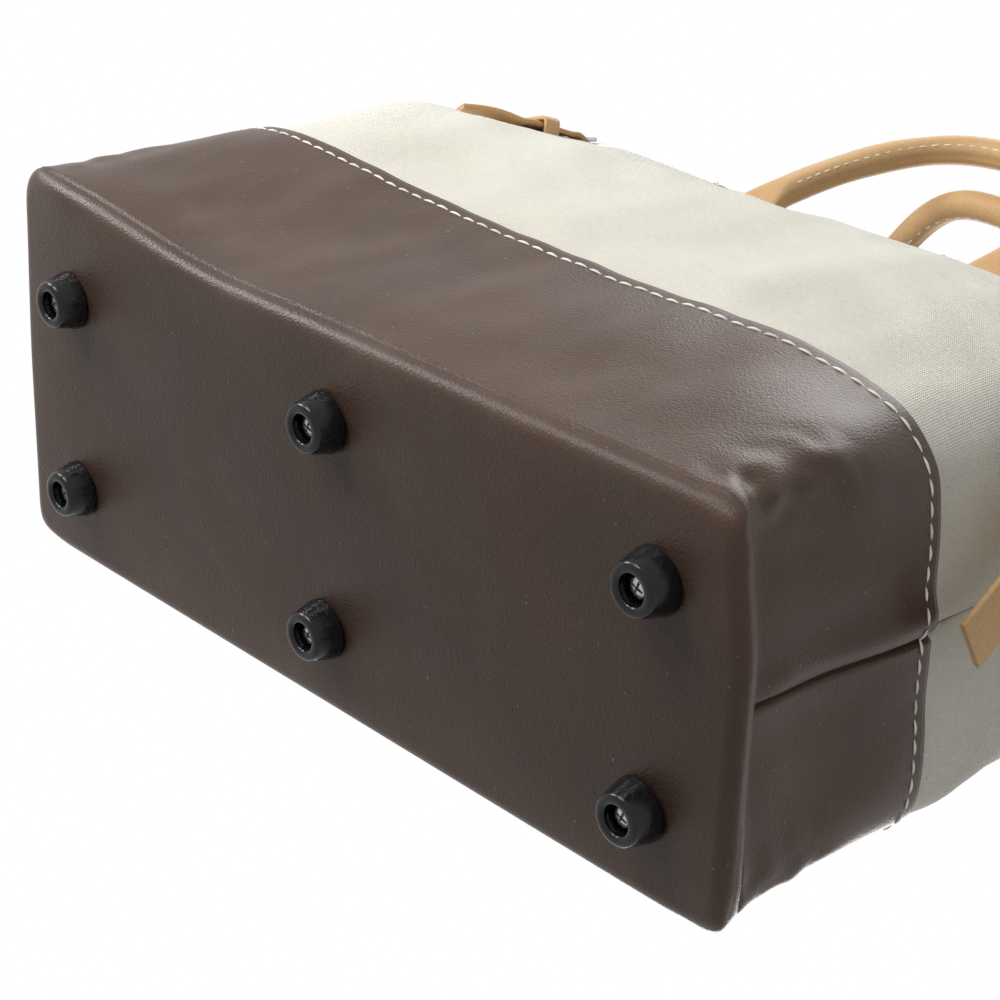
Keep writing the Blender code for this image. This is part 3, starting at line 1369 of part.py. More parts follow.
def main():
    clear_scene()
    parts = add_collection("canvas_tool_bag")
    cutters = add_collection("cutters")
    axes = add_collection("joint_axes")
    vinyl = make_material("vinyl", VINYL_LOOK)
    canvas = make_material("canvas", CANVAS_LOOK)
    leather = make_material("leather", LEATHER_LOOK)
    rubber = make_material("rubber", RUBBER_LOOK)
    steel = make_material("steel", STEEL_LOOK)
    board_material = make_material("board", BOARD_LOOK)
    boot = add_vinyl_boot(vinyl, parts)
    body = add_canvas_body(canvas, parts)
    board = add_bottom_board(board_material, parts)
    add_feet(rubber, steel, parts)
    cut_foot_holes(boot, body, board, cutters)
    front_rod = add_frame_rod("front_frame_rod", -1, steel, parts)
    back_rod = add_frame_rod("back_frame_rod", 1, steel, parts)
    add_pivots(steel, body, [front_rod, back_rod], parts, cutters)
    add_inner_pocket(canvas, parts)
    front = add_mouth_panel("front_canvas_panel", -1, canvas, parts)
    back = add_mouth_panel("back_canvas_panel", 1, canvas, parts)
    front_holes = add_handle_set("front", -1, leather, steel, parts, cutters)
    back_holes = add_handle_set("back", 1, leather, steel, parts, cutters)
    left_tail = (LEFT_TAIL_LENGTH, LEFT_TAIL_SLANT_DEG)
    right_tail = (RIGHT_TAIL_LENGTH, RIGHT_TAIL_SLANT_DEG)
    for prefix, way, tail in (("left", -1.0, left_tail), ("right", 1.0, right_tail)):
        front_hole, back_hole = add_closure(prefix, way, *tail, leather, steel, parts, cutters)
        front_holes.append(front_hole)
        back_holes.append(back_hole)
    hole = RIVET_RADIUS + GAP
    length = 4.0 * HANDLE_TAB_THICKNESS
    cut(front, add_cylinder_cutter("front_panel_holes", hole, length, front_holes, cutters))
    cut(back, add_cylinder_cutter("back_panel_holes", hole, length, back_holes, cutters))
    hang_moving_pieces(parts, axes)
    centre_on_origin((parts, cutters, axes), parts)


main()
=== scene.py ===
import json
from math import acos, asin, atan2, copysign, cos, degrees, exp, hypot, pi, radians, sin

import bmesh
import bpy
import numpy as np
from mathutils import Matrix, Vector, noise


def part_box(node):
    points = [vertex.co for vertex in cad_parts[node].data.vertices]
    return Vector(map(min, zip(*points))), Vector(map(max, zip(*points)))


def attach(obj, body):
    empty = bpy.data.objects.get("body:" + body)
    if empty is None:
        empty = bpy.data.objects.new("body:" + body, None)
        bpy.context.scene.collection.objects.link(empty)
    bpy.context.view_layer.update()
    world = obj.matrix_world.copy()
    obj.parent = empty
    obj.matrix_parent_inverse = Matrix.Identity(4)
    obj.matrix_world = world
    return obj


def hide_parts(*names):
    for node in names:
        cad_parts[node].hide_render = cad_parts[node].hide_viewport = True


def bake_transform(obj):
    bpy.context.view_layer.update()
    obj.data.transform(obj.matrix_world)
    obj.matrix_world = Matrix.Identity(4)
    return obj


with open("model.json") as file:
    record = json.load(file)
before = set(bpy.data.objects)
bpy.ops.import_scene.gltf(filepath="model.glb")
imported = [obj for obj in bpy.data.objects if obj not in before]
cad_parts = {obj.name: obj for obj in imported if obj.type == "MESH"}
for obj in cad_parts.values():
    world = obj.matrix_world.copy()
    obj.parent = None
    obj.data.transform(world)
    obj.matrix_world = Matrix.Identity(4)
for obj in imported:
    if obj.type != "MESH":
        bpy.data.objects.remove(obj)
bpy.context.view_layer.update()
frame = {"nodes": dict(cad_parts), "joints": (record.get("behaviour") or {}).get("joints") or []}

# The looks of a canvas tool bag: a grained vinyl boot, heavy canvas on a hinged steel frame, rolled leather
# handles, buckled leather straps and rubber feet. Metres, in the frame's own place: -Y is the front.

nodes = frame["nodes"]
body_low, body_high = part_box("canvas_body")
BAG_MIDDLE = Vector(((body_low.x + body_high.x) / 2.0, 0.0, 0.0))
TO_BAG = Matrix.Translation(BAG_MIDDLE)
front_hinge = next(joint for joint in frame["joints"] if joint["name"] == "front_frame_hinge")
pivot = Vector((0.0, 0.0, front_hinge["pos_m"][2]))
UP = Vector((0.0, 0.0, 1.0))
DOWN = -UP
MILLIMETRES = 1000.0

# The skin: how long, wide and square the bag is at each height above the floor
FLOOR_TO_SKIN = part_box("vinyl_boot")[0].z
BASE_LENGTH = 0.411
BASE_WIDTH = 0.158
BELLY_LENGTH = 0.418
BELLY_WIDTH = 0.184
BELLY_HEIGHT = 0.177
SHOULDER_LENGTH = 0.410
SHOULDER_WIDTH = 0.170
SHOULDER_HEIGHT = 0.262
BASE_SQUARENESS = 24.0
SHOULDER_SQUARENESS = 4.8
EDGE_RADIUS = 0.007
BOOT_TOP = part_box("vinyl_boot")[1].z
VINYL_THICKNESS = 0.0015
CANVAS_INSET = 0.0018
CANVAS_THICKNESS = 0.0012

# Pulls on the soft shell: how deep each is, and for each way the place where it starts to grow, or at its top to
# fade, with the run over which it does so
EAR_PULL = 0.012
EAR_LEFT, EAR_FRONT, EAR_TOP = (0.06, 0.14), (0.0, 0.075), (0.02, 0.16)
EAR_TIP, EAR_LIFT_SHARE = (0.17, 0.03), 0.15
FOLD_PULL = 0.010
FOLD_LEFT, FOLD_FRONT, FOLD_FOOT, FOLD_TOP = (-0.01, 0.19), (0.015, 0.055), (0.045, 0.09), (0.195, 0.045)
FOLD_SIDE_SHARE = 0.6
SAG_DEPTH = 0.011
SAG_RIGHT, SAG_BACK, SAG_FOOT, SAG_TOP = (0.02, 0.15), (0.02, 0.05), (0.05, 0.10), (0.215, 0.040)
SAG_SIDE_SHARE = 0.3
TUCK_DEPTH = 0.009
TUCK_RIGHT, TUCK_FOOT, TUCK_TOP, TUCK_BACK = (0.09, 0.11), (0.014, 0.02), (0.17, 0.08), (0.01, 0.06)
TUCK_BACK_SHARE = 0.6
NIP_DEPTH = 0.006
NIP_RIGHT, NIP_FRONT, NIP_TOP = (0.14, 0.055), (0.02, 0.05), (0.03, 0.06)

# Slack in the canvas, each with its depth and the size of its lumps, and the pulls at the handle tabs
LUMP_DEPTH, LUMP_SIZE = 0.0027, 0.085
UPRIGHT_DEPTH, UPRIGHT_SIZE = 0.0015, 0.026
CREASE_DEPTH, CREASE_SIZE = 0.0007, 0.022
SLACK_FOOT, SLACK_TOP, SLACK_TOP_SHARE = (-0.012, 0.05), (0.300, 0.045), 0.75
TAB_PULL, TAB_PLACE, TAB_SPREAD = 0.0014, 0.065, 0.018
TAB_PULL_FOOT, TAB_PULL_TOP = (0.19, 0.10), (0.292, 0.012)
BULGE_DEPTH, BULGE_HEIGHT, BULGE_SPREAD = 0.005, 0.185, 0.035
BULGE_LEFT = (0.05, 0.09)
STRAP_ROOM, FREE_ROOM, STRAP_FOOT = 0.0004, 0.010, (0.240, 0.020)
POCKET_ROOM, POCKET_TOP = 0.0006, 0.26
END_SEAM_NEAR, END_SEAM_TUCK = (0.001, 0.012), 0.0012

# The boot's ends: a groove over a welt, a recess above it, a seam with a rolled edge, and puckered corners
GROOVE_DEPTH, GROOVE_HEIGHT, GROOVE_SPREAD = 0.0048, 0.0135, 0.0016
RECESS_DEPTH, RECESS_FOOT, RECESS_TOP = 0.0042, (0.0125, 0.003), (0.04, 0.06)
SEAM_DEPTH, SEAM_SPREAD, SEAM_FOOT = 0.0030, 0.0012, (0.014, 0.006)
END_WALL = (0.93, 0.05)
DENT_DEPTH, DENT_SIZE, RIPPLE_DEPTH, RIPPLE_SIZE = 0.0013, 0.07, 0.0005, 0.018
ROLL_HEIGHT, ROLL_PLACE, ROLL_SPREAD, ROLL_FOOT = 0.0022, -0.008, 0.006, (0.018, 0.02)
PUCKER_DEPTH, PUCKER_SIZE, PUCKER_SPREAD, PUCKER_TOP = 0.0016, 0.011, 0.014, (0.05, 0.03)
CORNER_X, CORNER_Y = 0.196, 0.070

# The mouth: two halves of a frame that lean from the pivots, wrapped in the canvas's hem
FRAME_LEAN = radians(12.0)
FRAME_REACH = 0.076
FRAME_CORNER = 0.020
HEM_START = 0.028
HEM_RADIUS = 0.0050
HEM_DEPTH = 0.018
HEM_SLOPE = radians(45.0)
HEM_TWIST_RUN = 0.045
ROD_RADIUS = 0.003
LEG_X = {side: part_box(node)[1].x - ROD_RADIUS - BAG_MIDDLE.x
         for side, node in ((-1, "front_frame_rod"), (1, "back_frame_rod"))}
PANEL_FOOT = 0.227
PANEL_START = 0.009
PANEL_SLOPE_WIDTH = 0.045
LOW_PULL = 0.36
HIGH_PULL = 0.30
HEM_SHARE = 0.32
CORNER_DRAW = 0.04
LINING_GAP = 0.003
SEAM_PINCH = 0.0007
HEM_FADE_STEPS = 6.0
SEAM_FADE_STEPS = 8.0
BOOT_BLEND_RUN = 0.03
SEAM_CALM = 0.8

# How finely a half of the canvas is divided: up the skin, up the panel, round the rod, down the lining, and across
SKIN_STEPS = 44
WALL_STEPS = 26
WRAP_STEPS = 10
LINING_STEPS = 3
PANEL_COLUMNS = 150
END_COLUMNS = 7
END_TAB_STEPS = 4
END_TAB_RISE = 0.011
END_TAB_REACH = 0.014
END_TAB_LEAST = 0.0004
CANVAS_LOW = BOOT_TOP - 0.014


def ease(share):
    share = min(max(share, 0.0), 1.0)
    return share * share * (3.0 - 2.0 * share)


def grown(place, start, run):
    """0 up to a start, 1 from a run past it, and smooth between."""
    return ease((place - start) / run)


def faded(place, start, run):
    return 1.0 - grown(place, start, run)


def bell(place, middle, spread):
    return exp(-((place - middle) / spread) ** 2)


def circle(steps):
    return [2.0 * pi * i / steps for i in range(steps)]


def skin_size(height):
    below = min(max((height - FLOOR_TO_SKIN) / (BELLY_HEIGHT - FLOOR_TO_SKIN), 0.0), 1.0)
    above = min(max((height - BELLY_HEIGHT) / (SHOULDER_HEIGHT - BELLY_HEIGHT), 0.0), 1.0)
    swell = sin(below * pi / 2.0)
    fall = 1.0 - cos(above * pi / 2.0)
    length = BASE_LENGTH + (BELLY_LENGTH - BASE_LENGTH) * swell + (SHOULDER_LENGTH - BELLY_LENGTH) * fall
    width = BASE_WIDTH + (BELLY_WIDTH - BASE_WIDTH) * swell + (SHOULDER_WIDTH - BELLY_WIDTH) * fall
    squareness = SHOULDER_SQUARENESS + (BASE_SQUARENESS - SHOULDER_SQUARENESS) * (1.0 - below) ** 3
    return length / 2.0, width / 2.0, squareness


def skin_point(height, inset, angle):
    half_length, half_width, power = skin_size(height)
    across = abs(cos(angle)) / (half_length - inset)
    deep = abs(sin(angle)) / (half_width - inset)
    radius = (across ** power + deep ** power) ** (-1.0 / power)
    return Vector((radius * cos(angle), radius * sin(angle), height))


def marks_along(points, turn_run=0.0):
    """How far along a path each point is. A turn counts as so much length a radian, which draws points to corners."""
    marks = [0.0]
    for k in range(1, len(points)):
        step = points[k] - points[k - 1]
        turn = step.angle(points[k - 1] - points[k - 2], 0.0) if k > 1 else 0.0
        marks.append(marks[-1] + step.length + turn_run * turn)
    return marks


def even_angles(height, count, turn_run, start, end):
    """Directions from the bag's middle whose points on the skin are evenly spread, closer at the corners."""
    dense = [start + (end - start) * k / 2000 for k in range(2001)]
    marks = marks_along([skin_point(height, 0.0, angle) for angle in dense], turn_run)
    return list(np.interp(np.linspace(0.0, marks[-1], count), marks, dense))


def soft_noise(point, size, seed):
    """Smooth noise about zero, of roughly unit height, over lumps of a given size."""
    place = Vector((point[0] / size + seed * 7.3, point[1] / size - seed * 3.1, point[2] / size + seed))
    return noise.noise(place) * 1.6


def mesh_object(name, mesh):
    obj = bpy.data.objects.new(name, mesh)
    bpy.context.scene.collection.objects.link(obj)
    return obj


def new_mesh(name, points, faces):
    mesh = bpy.data.meshes.new(name)
    mesh.from_pydata([tuple(point) for point in points], [], faces)
    mesh.update()
    return mesh


def mesh_of(name, bm):
    mesh = bpy.data.meshes.new(name)
    bm.to_mesh(mesh)
    bm.free()
    return mesh


def ring_faces(rings, count, base=0):
    """Faces between neighbouring rings of so many points each, numbered from a base."""
    faces = []
    for k in range(rings - 1):
        low, high = base + k * count, base + (k + 1) * count
        for i in range(count):
            j = (i + 1) % count
            faces.append((low + i, low + j, high + j, high + i))
    return faces


def grid_object(name, rows):
    """A smooth mesh through closed rows of points."""
    mesh = new_mesh(name, [point for row in rows for point in row], ring_faces(len(rows), len(rows[0])))
    mesh.shade_smooth()
    return mesh_object(name, mesh)


def shade(mesh, sharp_deg):
    """Smooth, but for edges sharper than an angle."""
    mesh.shade_smooth()
    mesh.set_sharp_from_angle(angle=radians(sharp_deg))


def close_ends(obj, count, raw_faces=()):
    """Caps on a tube's ends. Where raw faces of each ring are named, they and the caps take the second material."""
    bm = bmesh.new()
    bm.from_mesh(obj.data)
    bm.verts.ensure_lookup_table()
    sides, last = len(bm.faces), len(bm.verts) - 1
    bm.faces.new([bm.verts[i] for i in range(count)])
    bm.faces.new([bm.verts[last - i] for i in range(count)])
    if raw_faces:
        bm.faces.ensure_lookup_table()
        for index, face in enumerate(bm.faces):
            face.material_index = 1 if index % count in raw_faces or index >= sides else 0
    bmesh.ops.recalc_face_normals(bm, faces=bm.faces)
    bm.to_mesh(obj.data)
    bm.free()


def modify(obj, kind, **settings):
    """Add a modifier with these settings and apply it."""
    modifier = obj.modifiers.new(kind, kind)
    for name, value in settings.items():
        setattr(modifier, name, value)
    depsgraph = bpy.context.evaluated_depsgraph_get()
    mesh = bpy.data.meshes.new_from_object(obj.evaluated_get(depsgraph), preserve_all_data_layers=True,
                                           depsgraph=depsgraph)
    obj.modifiers.clear()
    obj.data = mesh


def cut_away(obj, cutter_mesh, use_self=False):
    cutter = mesh_object(cutter_mesh.name, cutter_mesh)
    modify(obj, "BOOLEAN", operation="DIFFERENCE", object=cutter, use_self=use_self)
    bpy.data.objects.remove(cutter)


def add_cloth_map(mesh, cloth):
    layer = mesh.uv_layers.new(name="cloth")
    for loop in mesh.loops:
        layer.data[loop.index].uv = cloth[loop.vertex_index]


def outward(obj, centre):
    """Turn the faces so that most of them look away from a point."""
    mesh = obj.data
    score = sum((face.center - centre).dot(face.normal) * face.area for face in mesh.polygons)
    if score < 0.0:
        mesh.flip_normals()


# Materials


def new_material(name):
    material = bpy.data.materials.new(name)
    material.use_nodes = True
    tree = material.node_tree
    return material, tree, tree.nodes["Principled BSDF"]


def value_node(tree, kind, **settings):
    node = tree.nodes.new(kind)
    for name, value in settings.items():
        if name in node.inputs:
            node.inputs[name].default_value = value
        else:
            setattr(node, name, value)
    return node


def grey(level):
    return (level, level, level, 1.0)


def ramp(tree, source, low, high, low_colour, high_colour):
    node = tree.nodes.new("ShaderNodeValToRGB")
    node.color_ramp.elements[0].position = low
    node.color_ramp.elements[0].color = low_colour
    node.color_ramp.elements[1].position = high
    node.color_ramp.elements[1].color = high_colour
    tree.links.new(source, node.inputs["Fac"])
    return node.outputs["Color"]


def mix(tree, share, first, second, blend_type="MIX"):
    node = tree.nodes.new("ShaderNodeMix")
    node.data_type = "RGBA"
    node.blend_type = blend_type
    for socket, source in (("Factor", share), ("A", first), ("B", second)):
        kind = "VALUE" if socket == "Factor" else "RGBA"
        target = next(s for s in node.inputs if s.name == socket and s.type == kind)
        if isinstance(source, (float, tuple)):
            target.default_value = source
        else:
            tree.links.new(source, target)
    return next(s for s in node.outputs if s.type == "RGBA")


def maths(tree, operation, first, second=0.0):
    node = tree.nodes.new("ShaderNodeMath")
    node.operation = operation
    for socket, source in zip(node.inputs, (first, second)):
        if isinstance(source, float):
            socket.default_value = source
        else:
            tree.links.new(source, socket)
    return node.outputs["Value"]


def bump(tree, height, distance):
    node = value_node(tree, "ShaderNodeBump", Strength=1.0, Distance=distance)
    tree.links.new(height, node.inputs["Height"])
    return node.outputs["Normal"]


def noise_of(tree, place, scale, detail=3.0, roughness=0.55):
    node = value_node(tree, "ShaderNodeTexNoise", Scale=scale, Detail=detail, Roughness=roughness)
    tree.links.new(place, node.inputs["Vector"])
    return node.outputs["Fac"]


def canvas_material(name, base, dark):
    """Plain-woven duck: ribs both ways on the cloth map, slubs, dark flecks and soiling."""
    material, tree, shader = new_material(name)
    where = tree.nodes.new("ShaderNodeTexCoord")
    cloth = value_node(tree, "ShaderNodeUVMap", uv_map="cloth").outputs["UV"]
    ribs = []
    for direction, pitch in (("X", 1.05), ("Y", 1.20)):
        wave = value_node(tree, "ShaderNodeTexWave", bands_direction=direction, Scale=pi / 10.0 / pitch,
                          Distortion=0.9)
        wave.inputs["Detail"].default_value = 1.0
        wave.inputs["Detail Scale"].default_value = 0.6
        tree.links.new(cloth, wave.inputs["Vector"])
        ribs.append(wave.outputs["Fac"])
    weave = maths(tree, "MAXIMUM", ribs[0], ribs[1])
    slub = noise_of(tree, cloth, 0.35, 4.0)
    patch = noise_of(tree, where.outputs["Object"], 9.0, 4.0)
    fleck = noise_of(tree, cloth, 0.55, 1.0)
    tone = ramp(tree, patch, 0.30, 0.72, dark, base)
    tone = mix(tree, 0.30, tone, ramp(tree, slub, 0.30, 0.70, dark, base))
    tone = mix(tree, ramp(tree, weave, 0.30, 0.85, grey(0.42), grey(0.0)), tone, dark)
    tone = mix(tree, ramp(tree, fleck, 0.74, 0.78, grey(0.0), grey(0.5)), tone, (0.16, 0.12, 0.08, 1.0))
    tree.links.new(tone, shader.inputs["Base Color"])
    shader.inputs["Roughness"].default_value = 0.92
    shader.inputs["Sheen Weight"].default_value = 0.15
    height = maths(tree, "ADD", maths(tree, "MULTIPLY", weave, 0.7), maths(tree, "MULTIPLY", slub, 0.6))
    tree.links.new(bump(tree, height, 0.00036), shader.inputs["Normal"])
    return material


def grain_material(name, base, dark, cell, roughness, depth, dusty=None):
    """Grained hide or vinyl: pebbled cells of a size in millimetres, tone patches, and a film and specks of dust."""
    material, tree, shader = new_material(name)
    place = tree.nodes.new("ShaderNodeTexCoord").outputs["Object"]
    pebbles = value_node(tree, "ShaderNodeTexVoronoi", feature="SMOOTH_F1", Scale=MILLIMETRES / cell)
    pebbles.inputs["Smoothness"].default_value = 0.35
    tree.links.new(place, pebbles.inputs["Vector"])
    fine = noise_of(tree, place, 2600.0 / cell, 2.0)
    patch = noise_of(tree, place, 14.0, 5.0)
    tone = ramp(tree, patch, 0.32, 0.70, dark, base)
    tone = mix(tree, ramp(tree, pebbles.outputs["Distance"], 0.30, 0.75, grey(0.0), grey(0.45)), tone, dark)
    if dusty:
        speck = noise_of(tree, place, 520.0, 1.0)
        tone = mix(tree, ramp(tree, speck, 0.755, 0.785, grey(0.0), grey(0.55)), tone, dusty)
        film = noise_of(tree, place, 38.0, 6.0)
        tone = mix(tree, ramp(tree, film, 0.50, 0.85, grey(0.0), grey(0.12)), tone, dusty)
    tree.links.new(tone, shader.inputs["Base Color"])
    shader.inputs["Specular IOR Level"].default_value = 0.24
    low, high = roughness
    rough = ramp(tree, patch, 0.30, 0.75, grey(low), grey(high))
    tree.links.new(rough, shader.inputs["Roughness"])
    sunk = maths(tree, "MULTIPLY", pebbles.outputs["Distance"], -1.0)
    height = maths(tree, "ADD", sunk, maths(tree, "MULTIPLY", fine, 0.25))
    tree.links.new(bump(tree, height, depth), shader.inputs["Normal"])
    return material


def plain_material(name, colour, roughness, metallic=0.0, scratches=0.0, gloss=0.5):
    """Rubber, thread or metal: one colour with fine marks in its sheen."""
    material, tree, shader = new_material(name)
    place = tree.nodes.new("ShaderNodeTexCoord").outputs["Object"]
    marks = noise_of(tree, place, 420.0, 4.0)
    low, high = max(roughness - 0.08, 0.02), roughness + 0.12
    tree.links.new(ramp(tree, marks, 0.35, 0.70, grey(low), grey(high)), shader.inputs["Roughness"])
    dark = tuple(channel * 0.72 for channel in colour[:3]) + (1.0,)
    patch = noise_of(tree, place, 60.0, 3.0)
    tree.links.new(ramp(tree, patch, 0.30, 0.62, dark, colour), shader.inputs["Base Color"])
    shader.inputs["Metallic"].default_value = metallic
    shader.inputs["Specular IOR Level"].default_value = gloss
    if scratches:
        tree.links.new(bump(tree, marks, scratches), shader.inputs["Normal"])
    return material


CANVAS = canvas_material("canvas", (0.76, 0.745, 0.675, 1.0), (0.59, 0.56, 0.475, 1.0))
VINYL = grain_material("vinyl", (0.083, 0.048, 0.033, 1.0), (0.056, 0.032, 0.022, 1.0), 1.0, (0.33, 0.46), 0.00012,
                       (0.24, 0.21, 0.18, 1.0))
LEATHER = grain_material("leather", (0.64, 0.42, 0.215, 1.0), (0.50, 0.30, 0.135, 1.0), 1.1, (0.42, 0.60), 0.00012)
RAW_EDGE = grain_material("raw leather edge", (0.66, 0.48, 0.30, 1.0), (0.45, 0.30, 0.17, 1.0), 0.7, (0.75, 0.90),
                          0.00015)
RUBBER = plain_material("rubber", (0.008, 0.008, 0.009, 1.0), 0.20, 0.0, 0.00003, 0.28)
STEEL = plain_material("steel", (0.44, 0.45, 0.47, 1.0), 0.26, 1.0, 0.00002)
THREAD = plain_material("thread", (0.86, 0.84, 0.77, 1.0), 0.80)
BOARD = plain_material("hardboard", (0.20, 0.125, 0.07, 1.0), 0.75, 0.0, 0.0001)


def finish_piece(obj, material, slot, *replaced):
    obj.data.materials.clear()
    obj.data.materials.append(material)
    if replaced:
        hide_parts(*replaced)
    return obj


# Canvas: each half is one cloth from inside the boot, up the skin, over the frame and down inside it


def frame_up(side):
    return Vector((0.0, side * sin(FRAME_LEAN), cos(FRAME_LEAN)))


def frame_out(side):
    return Vector((0.0, side * cos(FRAME_LEAN), -sin(FRAME_LEAN)))


def rod_path(side, count):
    reach = LEG_X[side]
    corner_x = reach - FRAME_CORNER
    corner_up = FRAME_REACH - FRAME_CORNER
    flat = [(-reach, HEM_START)]
    for k in range(25):
        angle = pi / 2.0 * k / 24
        flat.append((-corner_x - FRAME_CORNER * cos(angle), corner_up + FRAME_CORNER * sin(angle)))
    flat += [(-x, up) for x, up in reversed(flat)]
    places = [pivot + Vector((x, 0.0, 0.0)) + frame_up(side) * up for x, up in flat]
    return even_points(places, count, CORNER_DRAW)


def even_points(points, count, turn_run=0.0):
    marks = marks_along(points, turn_run)
    wanted = np.linspace(0.0, marks[-1], count)
    axes = [np.interp(wanted, marks, [point[axis] for point in points]) for axis in range(3)]
    return [Vector(place) for place in zip(*axes)]


def directions(points):
    ends = [points[0]] + list(points) + [points[-1]]
    return [(after - before).normalized() for before, after in zip(ends, ends[2:])]


def foot_height(y):
    slide = (abs(y) - PANEL_START) / (PANEL_SLOPE_WIDTH - PANEL_START)
    high = pivot.z + 0.001
    return high + (PANEL_FOOT - high) * min(max(slide, 0.0), 1.0)


def hem_directions(side, rod, tangent, turn):
    bar_out = Vector((0.0, side * cos(HEM_SLOPE), sin(HEM_SLOPE)))
    bar_over = Vector((0.0, -side * sin(HEM_SLOPE), cos(HEM_SLOPE)))
    leg_out = Vector((copysign(1.0, rod.x), 0.0, 0.0))
    out = (bar_out * cos(turn) + leg_out * sin(turn)).normalized()
    over = bar_over * cos(turn) - frame_out(side) * sin(turn)
    out = (out - tangent * out.dot(tangent)).normalized()
    square = tangent.cross(out)
    return out, square if square.dot(over) > 0.0 else -square


def panel_rows(side, feet, count):
    """For each foot, the points up the panel, over the rod and down inside."""
    rods = rod_path(side, count)
    corner_x = LEG_X[side] - FRAME_CORNER
    corner_up = FRAME_REACH - FRAME_CORNER
    columns = []
    for foot, rod, tangent in zip(feet, rods, directions(rods)):
        up = (rod - pivot).dot(frame_up(side))
        past = abs(rod.x) - corner_x
        travel = past
        if past >= 0.0:
            round_corner = up > corner_up
            travel = FRAME_CORNER * (atan2(past, up - corner_up) if round_corner else pi / 2.0)
            travel += 0.0 if round_corner else corner_up - up
        turn = pi / 2.0 * ease((travel + HEM_TWIST_RUN) / (2.0 * HEM_TWIST_RUN))
        out, over = hem_directions(side, rod, tangent, turn)
        hem = max(min(HEM_DEPTH, HEM_SHARE * (rod - foot).length), 2.0 * HEM_RADIUS)
        half_seam = CANVAS_THICKNESS
        seam = rod - over * hem + out * half_seam
        reach = (seam - foot).length
        angle = atan2(foot.y, foot.x)
        above = skin_point(foot.z + PANEL_START, CANVAS_INSET, angle)
        rise = (above - skin_point(foot.z, CANVAS_INSET, angle)).normalized()
        low_pull = foot + rise * (reach * LOW_PULL)
        high_pull = seam - over * (reach * HIGH_PULL)
        strip = []
        for i in range(1, WALL_STEPS + 1):
            t = i / WALL_STEPS
            s = 1.0 - t
            strip.append(foot * s ** 3 + low_pull * (3 * s * s * t) + high_pull * (3 * s * t * t) + seam * t ** 3)
        start = atan2(half_seam, hem) + acos(HEM_RADIUS / hypot(hem, half_seam)) - pi / 2.0
        first = rod + (out * cos(start) + over * sin(start)) * HEM_RADIUS
        strip.append(seam.lerp(first, 0.12) - out * SEAM_PINCH)
        strip.append(seam.lerp(first, 0.45))
        for i in range(WRAP_STEPS + 1):
            around = start + (pi - 2.0 * start) * i / WRAP_STEPS
            strip.append(rod + (out * cos(around) + over * sin(around)) * HEM_RADIUS)
        inner = rod - over * hem - out * half_seam
        strip.append(strip[-1].lerp(inner, 0.5))
        strip.append(inner)
        for i in range(1, LINING_STEPS + 1):
            share = i / LINING_STEPS
            outer = strip[max(WALL_STEPS - 1 - round(share * (WALL_STEPS - 1)), 0)]
            lining = outer - out * LINING_GAP
            strip.append(inner.lerp(lining, share) if share < 1.0 else lining)
        columns.append(strip)
    return columns


def half_angles(side):
    """The directions of a half's columns, from its left end seam to its right one."""
    top = SHOULDER_HEIGHT
    half_length = skin_size(top)[0] - CANVAS_INSET
    edge = asin(min(1.0, PANEL_START / half_length))
    line = [skin_point(foot_height(skin_point(top, CANVAS_INSET, a).y), CANVAS_INSET, a)
            for a in np.linspace(pi - edge, edge, 1500)]
    feet = even_points(line, PANEL_COLUMNS, CORNER_DRAW)
    angles = [atan2(foot.y, foot.x) for foot in feet]
    end = [pi - edge * k / END_COLUMNS for k in range(END_COLUMNS)]
    angles = end + angles + [pi - angle for angle in reversed(end)]
    return [angle * side for angle in angles]


def fold_depth(point, side):
    """How far the cloth stands in or out of its even shape: slack lumps, soft upright folds and pulls at the tabs."""
    height = point.z
    slack = grown(height - BOOT_TOP, *SLACK_FOOT) * (1.0 - SLACK_TOP_SHARE * grown(height, *SLACK_TOP))
    lump = LUMP_DEPTH * soft_noise((point.x, point.y, height * 0.9), LUMP_SIZE, 1.0 + side)
    fold = UPRIGHT_DEPTH * soft_noise((point.x, point.y, height * 0.28), UPRIGHT_SIZE, 4.0 + side)
    crease = CREASE_DEPTH * soft_noise((point.x * 0.6 + height * 0.7, point.y, height), CREASE_SIZE, 9.0 + side)
    below_tab = grown(height, *TAB_PULL_FOOT) * faded(height, *TAB_PULL_TOP)
    pull = sum(TAB_PULL * bell(point.x, way * TAB_PLACE, TAB_SPREAD) * below_tab for way in (-1.0, 1.0))
    offset = slack * (lump + fold + crease) + pull
    if side < 0:
        offset += BULGE_DEPTH * grown(-point.x, *BULGE_LEFT) * bell(height, BULGE_HEIGHT, BULGE_SPREAD)
    offset = min(offset, STRAP_ROOM + FREE_ROOM * faded(height, *STRAP_FOOT))
    return max(offset, -POCKET_ROOM) if side > 0 and height < POCKET_TOP else offset


